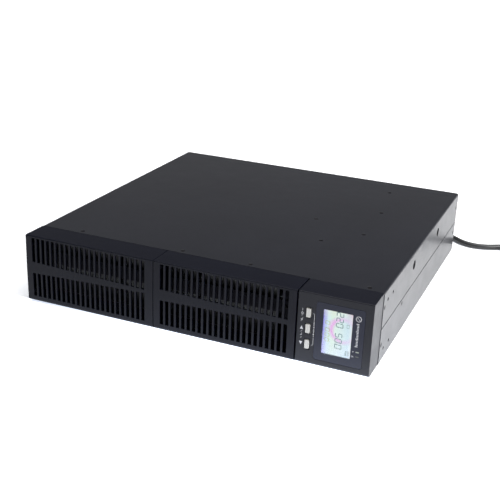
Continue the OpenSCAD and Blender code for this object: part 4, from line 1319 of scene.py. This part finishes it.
PAN_SMALL = pan_section(2.8, 1.8, 1.5, 8)
PAN_FAN = pan_section(3.6, 2.2, 1.9, 14)
case_screws = [("x", (CASE_FRONT + y, z), sign * CASE_SIDE, sign, COUNTERSUNK)
               for sign in (1, -1) for y, z in SIDE_SCREWS]
case_screws += [("z", (x, CASE_FRONT + y), CASE_TOP, 1, COUNTERSUNK) for x, y in TOP_SCREWS]
case_screws += [("y", place, REAR + SHEET, 1, PAN_SMALL) for place in COVER_SCREWS]
strap_middle = (strap_low.z + strap_high.z) / 2
case_screws += [("y", (x, strap_middle), strap_low.y, -1, PAN_SMALL) for x in STRAP_SCREWS]
make_screws("case_screws", case_screws)
make_screws("fan_screws", [("y", hole, REAR + 1.8, 1, PAN_FAN) for place in FANS.values()
                           for hole in fan_corners(place)])


def appliance_outline(place, width, height, chamfer):
    """An appliance inlet's outline, with its two upper corners cut off."""
    x, z = place
    a, b = width / 2, height / 2
    return [(x - a, z - b), (x + a, z - b), (x + a, z + b - chamfer), (x + a - chamfer, z + b),
            (x - a + chamfer, z + b), (x - a, z + b - chamfer)]


def make_outlets(name, place):
    mids = [(place[0] + i * OUTLET_PITCH, place[1]) for i in (-1, 0, 1)]

    def draw_recesses(bm):
        for mid in mids:
            prism(bm, appliance_outline(mid, 25, 18, 5), "y", REAR - 16, REAR + 3)

    def draw_slots(bm):
        for x, z in mids:
            for a, b in PIN_SLOTS:
                block(bm, x + a - 1.1, x + a + 1.1, REAR - 14, REAR + 3, z + b - 3, z + b + 3)
    plate = extruded(name, about(place, 52, 15, 2), REAR, REAR + 2)
    cut(plate, draw_recesses)
    soften(plate, 0.5, 3)
    body = extruded("outlet_body", about(place, 49, 12), REAR - 26, REAR)
    cut(body, draw_recesses)
    soften(body, 0.15)
    cores = drawn("outlet_cores", lambda bm: [prism(bm, appliance_outline(mid, 20.4, 13, 4), "y", REAR - 16.2,
                                                    REAR + 1.8) for mid in mids])
    cut(cores, draw_slots)
    soften(cores, 0.3)
    finished(name, join(plate, body, cores), "outlet_plastic")


for name, place in OUTLETS.items():
    make_outlets(name, place)


def make_breaker():
    def draw_body(bm):
        washer(bm, BREAKER, 3.8, 6, REAR_IN - 0.2, REAR + 0.2, 32)
        washer(bm, BREAKER, 3.8, 7.5, REAR, REAR + 2.4, 36)
    body = extruded("breaker_body", about(BREAKER, 8, 8, 1), REAR - 28, REAR_IN)
    pierce(body, circle(*BREAKER, 3.8, 32), REAR - 12, REAR + 3)
    join(body, drawn("breaker_collar", draw_body))
    soften(body, 0.4)
    finished("breaker_body", body, "outlet_plastic")
    low, high = corners("breaker_button")
    lathe_line = [(0, low.y), (3.5, low.y), (3.5, high.y - 0.9), (3.1, high.y - 0.25), (2.4, high.y),
                  (1.9, high.y - 0.35), (0, high.y - 0.5)]
    button = drawn("breaker_button", lambda bm: lathe(bm, "y", BREAKER, lathe_line, 32))
    finished("breaker_button", button, "outlet_plastic", "breaker_key")


make_breaker()


def make_ports():
    """Signal, USB and emergency-off sockets, the card slot's cover and the battery socket."""
    x, z = SIGNAL

    def trapezium(scale_x, scale_z):
        return [(x - 9 * scale_x, z + 4.6 * scale_z), (x + 9 * scale_x, z + 4.6 * scale_z),
                (x + 7.6 * scale_x, z - 4.6 * scale_z), (x - 7.6 * scale_x, z - 4.6 * scale_z)]

    shell = extruded("signal_port", trapezium(1, 1), REAR_IN - 0.2, REAR + 3.4)
    pierce(shell, trapezium(0.9, 0.83), REAR_IN + 0.4, REAR + 5)
    soften(shell, 0.25)

    def draw_block(bm):
        prism(bm, about(SIGNAL, 15.5, 6), "y", REAR - 11, REAR_IN)
        for dx in (-12.5, 12.5):
            lathe(bm, "y", (x + dx, z), [(0, REAR + 1), (1.4, REAR + 1), (1.4, REAR + 3.1), (1.7, REAR + 3.4),
                                         (2.5, REAR + 3.4), (2.7, REAR + 3), (2.7, REAR), (0, REAR)], 6)
        for row, count in ((1.4, 5), (-1.4, 4)):
            for i in range(count):
                pin = (x + (i - (count - 1) / 2) * 2.76, z + row)
                lathe(bm, "y", pin, [(0, REAR_IN), (0.5, REAR_IN), (0.5, REAR + 2.3), (0.25, REAR + 2.7),
                                     (0, REAR + 2.75)], 10)
    join(shell, drawn("signal_inside", draw_block))
    finished("signal_port", shell, "zinc_steel")

    usb = extruded("usb_port", about(USB, 6, 5.5, 0.8), REAR - 16, REAR + 0.6)
    mouth = [(-4.2, -3.9), (4.2, -3.9), (4.2, 2.2), (2.6, 3.9), (-2.6, 3.9), (-4.2, 2.2)]
    pierce(usb, [(USB[0] + dx, USB[1] + dz) for dx, dz in mouth], REAR - 10, REAR + 2)
    soften(usb, 0.25)
    join(usb, extruded("usb_tongue", about(USB, 2.8, 1.6), REAR - 11, REAR - 1))
    finished("usb_port", usb, "zinc_steel")

    alarm = extruded("emergency_off_terminal", about(ALARM, 6, 4.5, 0.4), REAR - 12, REAR + 2.6)
    cut(alarm, lambda bm: [prism(bm, circle(ALARM[0] + dx, ALARM[1], 1.3, 16), "y", REAR - 6, REAR + 4)
                           for dx in (-2.6, 2.6)])
    split = rectangle(ALARM[0] - 0.3, ALARM[0] + 0.3, ALARM[1] - 6, ALARM[1] + 6)
    pierce(alarm, split, REAR + 1.8, REAR + 4)
    soften(alarm, 0.25)
    finished("emergency_off_terminal", alarm, "terminal_green")

    cover = extruded("card_slot_cover", about(SLOT_COVER, 24, 9, 1.5), REAR, REAR + SHEET)
    cut(cover, lambda bm: [prism(bm, circle(*hole, 1.6, 16), "y", REAR - 1, REAR + 2)
                           for hole in COVER_SCREWS])
    soften(cover, 0.3)
    finished("card_slot_cover", cover, "case_paint")

    socket = extruded("battery_socket", about(SOCKET, 18, 11, 2), REAR, REAR + 3)
    body = extruded("battery_socket_body", about(SOCKET, 14, 8), REAR - 20, REAR + 0.5)
    sides = [(SOCKET[0] + dx, SOCKET[1]) for dx in (-7, 7)]
    for part in (socket, body):
        cut(part, lambda bm: [prism(bm, about(spot, 5, 5, 0.8), "y", REAR - 12, REAR + 4)
                              for spot in sides])
        soften(part, 0.4)
    blades = drawn("battery_socket_blades", lambda bm: [prism(bm, about(spot, 2.2, 2.5), "y", REAR - 13,
                                                              REAR + 1) for spot in sides])
    soften(blades, 0.5)
    finished("battery_socket", join(socket, body, blades), "socket_grey")


make_ports()


# ---- what is on the cord ----

def ribbed(start, stop, radius_start, radius_stop, ribs, depth):
    """Section of a tapering ribbed sleeve: radius and place along the axis."""
    line = []
    for i in range(ribs):
        for part, drop in ((0.0, depth), (0.18, 0), (0.62, 0), (0.8, depth)):
            t = (i + part) / ribs
            line.append((radius_start + (radius_stop - radius_start) * t - drop, start + (stop - start) * t))
    return line


def make_bushing():
    section = [(0, REAR - 6), (7, REAR - 6), (7, REAR), (8.9, REAR), (9.4, REAR + 0.6), (9.4, REAR + 2.2),
               (8.6, REAR + 3)]
    section += ribbed(REAR + 3.4, BOOT_TIP[1] - 0.3, 7.2, 5.1, 6, 0.5)
    section += [(4.6, BOOT_TIP[1]), (0, BOOT_TIP[1])]
    obj = drawn("cord_bushing", lambda bm: lathe(bm, "y", BUSHING, section, 40))
    return finished("cord_bushing", obj, "cord_rubber")


def make_plug():
    """A moulded two-pin plug lying on its side, with finger grooves and a ribbed boot."""
    low, high = corners("power_plug")
    place = middle("power_plug")
    tip = high.y
    grip = []
    for i in range(4):
        y = tip - 28 - i * 4.4
        radius = 15.6 + (tip - 25 - y) * 0.09
        grip += [(radius, y), (radius - 0.9, y - 0.8), (radius - 0.9, y - 2.4), (radius + 0.25, y - 3.2)]
    boot = ribbed(tip, tip - 21, 5.2, 8.8, 6, 0.5)
    section = [(0, tip), (4.8, tip)] + boot[1:]
    section += [(9, tip - 21.6), (12.5, tip - 22.4), (14.6, tip - 24.6)] + grip
    section += [(18, low.y + 7), (18.4, low.y + 2.4), (17.8, low.y + 0.5), (16.6, low.y), (0, low.y)]
    obj = drawn("power_plug", lambda bm: lathe(bm, "y", place, section, 56))
    plug = finished("power_plug", obj, "cord_rubber")
    pins_low, pins_high = corners("plug_pins")

    def draw_pins(bm):
        for dx in (-9.5, 9.5):
            lathe(bm, "y", (place[0] + dx, place[1]), [(0, pins_low.y), (1.2, pins_low.y + 0.1),
                                                       (2.1, pins_low.y + 0.9), (2.4, pins_low.y + 2.2),
                                                       (2.4, pins_high.y), (0, pins_high.y)], 28)
    return plug, finished("plug_pins", drawn("plug_pins", draw_pins), "pin_brass")


def make_tie():
    """A strap folded over the coil, its two ends tucked under the outer turns."""
    inner, outer = COIL_RADII[0], COIL_RADII[-1]

    def line(radius):
        return (arc(inner, LAYER_LOW, radius, 222, 180, 4) + arc(inner, LAYER_HIGH, radius, 180, 90, 6)
                + arc(outer, LAYER_HIGH, radius, 90, 0, 6) + arc(outer, LAYER_LOW, radius, 0, -42, 4))
    outline = line(CORD_D / 2 + 1.2) + line(CORD_D / 2 + 0.05)[::-1]
    obj = extruded("cord_tie", outline, -4.5, 4.5)
    soften(obj, 0.25)
    turned = Matrix.Rotation(math.radians(TIE_AT), 4, "Z")
    obj.data.transform(Matrix.Translation((COIL_X, COIL_Y, 0)) @ turned)
    return piece(obj, "case", MATERIALS["component_black"])


on_cord = [make_bushing(), *make_plug(), make_tie()]


# ---- stage and lights ----

# Painted pools of light on the floor, as emission: Y where the brighter patch in front of the object starts
# and is full, and how strong
FLOOR_PAINTED_POOL = (-330, -215, 2.8)
# In metres: the painted front pool ends at this Y, and the painted light beside the case starts at this X
FRONT_EDGE, SIDE_EDGE = -0.213, 0.22
floor = drawn("floor", lambda bm: block(bm, -12000, 12000, -12000, 12000, -40, -0.05))
floor.data.transform(Matrix.Scale(MM, 4))
floor_look = Nodes("floor_paper_painted_light")
floor_x, floor_y, _ = floor_look.axes()
# Painted pool of light in front of the case, brighter towards the right
painted_pool = floor_look.spread(floor_y, 0.0, 1.0, FLOOR_PAINTED_POOL[0] * MM, FLOOR_PAINTED_POOL[1] * MM)
painted_pool = floor_look.math("POWER", painted_pool, 2.0)
painted_pool = floor_look.math("MULTIPLY", painted_pool, floor_look.spread(floor_x, 0.25, 1.0, -0.2, 0.12))
painted_pool = floor_look.math("MULTIPLY", painted_pool, floor_look.math("LESS_THAN", floor_y, FRONT_EDGE))
painted_pool = floor_look.math("MULTIPLY", painted_pool, floor_look.math("LESS_THAN", floor_x, SIDE_EDGE))
# Painted light beside the case, fading towards the back
painted_pool_beside = floor_look.math("MULTIPLY", floor_look.spread(floor_y, 0.30, 0.0, -0.16, 0.06),
                         floor_look.math("GREATER_THAN", floor_x, SIDE_EDGE))
painted_pool = floor_look.math("ADD", floor_look.math("MULTIPLY", painted_pool, FLOOR_PAINTED_POOL[2]), painted_pool_beside)
# An even glow of 0.16 over the whole floor, plus the painted pools
floor_look.set(base=(0.9, 0.9, 0.9), roughness=0.9, specular=0.0, glow=(0.88, 0.96, 1.12),
               glow_strength=floor_look.math("ADD", painted_pool, 0.16))
floor.data.materials.append(floor_look.material)

world = bpy.data.worlds.new("studio")
bpy.context.scene.world = world
world.use_nodes = True

SKY_EDGE = 4


def sky(amount, regions):
    """A plain grey studio; a region is (low elevation, high, azimuth from +Y to +X, half width, light)."""
    tree = world.node_tree
    background = tree.nodes["Background"]

    def calculate(operation, a, b=0.0):
        node = tree.nodes.new("ShaderNodeMath")
        node.operation = operation
        for socket, value in zip(node.inputs, (a, b)):
            if isinstance(value, bpy.types.NodeSocket):
                tree.links.new(value, socket)
            else:
                socket.default_value = value
        return node.outputs[0]

    def step(value, low, high):
        node = tree.nodes.new("ShaderNodeMapRange")
        node.interpolation_type = "SMOOTHSTEP"
        tree.links.new(value, node.inputs["Value"])
        node.inputs["From Min"].default_value = low
        node.inputs["From Max"].default_value = high
        return node.outputs["Result"]

    place = tree.nodes.new("ShaderNodeTexCoord").outputs["Generated"]
    split = tree.nodes.new("ShaderNodeSeparateXYZ")
    tree.links.new(place, split.inputs["Vector"])
    x, y, z = split.outputs
    left = calculate("SUBTRACT", 1.0, calculate("MULTIPLY", z, z))
    flat = calculate("SQRT", calculate("MAXIMUM", left, 0.0001))
    total = amount
    for low, high, azimuth, half, light in regions:
        sine = [math.sin(math.radians(v + d)) for v in (low, high) for d in (-SKY_EDGE, SKY_EDGE)]
        above = step(z, *sine[2:]) if high < 90 else 0.0
        part = calculate("SUBTRACT", step(z, *sine[:2]), above)
        if half < 180:
            turn = math.radians(azimuth)
            along = calculate("ADD", calculate("MULTIPLY", x, math.sin(turn)),
                              calculate("MULTIPLY", y, math.cos(turn)))
            edge = [math.cos(math.radians(half + v)) for v in (SKY_EDGE * 2, -SKY_EDGE * 2)]
            part = calculate("MULTIPLY", part, step(calculate("DIVIDE", along, flat), *edge))
        total = calculate("ADD", total, calculate("MULTIPLY", part, light))
    tree.links.new(total, background.inputs["Color"])


sky(0.04, [(60, 90, 0, 180, 3.75), (0, 30, 90, 30, 0.85), (30, 60, 90, 45, 2.0), (0, 16, 0, 60, 0.40)])


def softbox(name, place, target, size, power, colour=(1, 1, 1)):
    data = bpy.data.lights.new(name, "AREA")
    data.shape = "RECTANGLE"
    data.size, data.size_y = size
    data.energy = power
    data.color = colour
    obj = linked(name, data)
    obj.location = place
    obj.rotation_euler = (Vector(target) - Vector(place)).to_track_quat("-Z", "Y").to_euler()
    return obj


softbox("right", (1.4, -0.35, 0.8), (0.35, -0.15, 0), (0.8, 0.8), 14)
softbox("right_low", (1.1, -0.05, 0.5), (0.4, -0.05, 0), (0.6, 0.6), 9)
bpy.context.scene.view_settings.view_transform = "Standard"
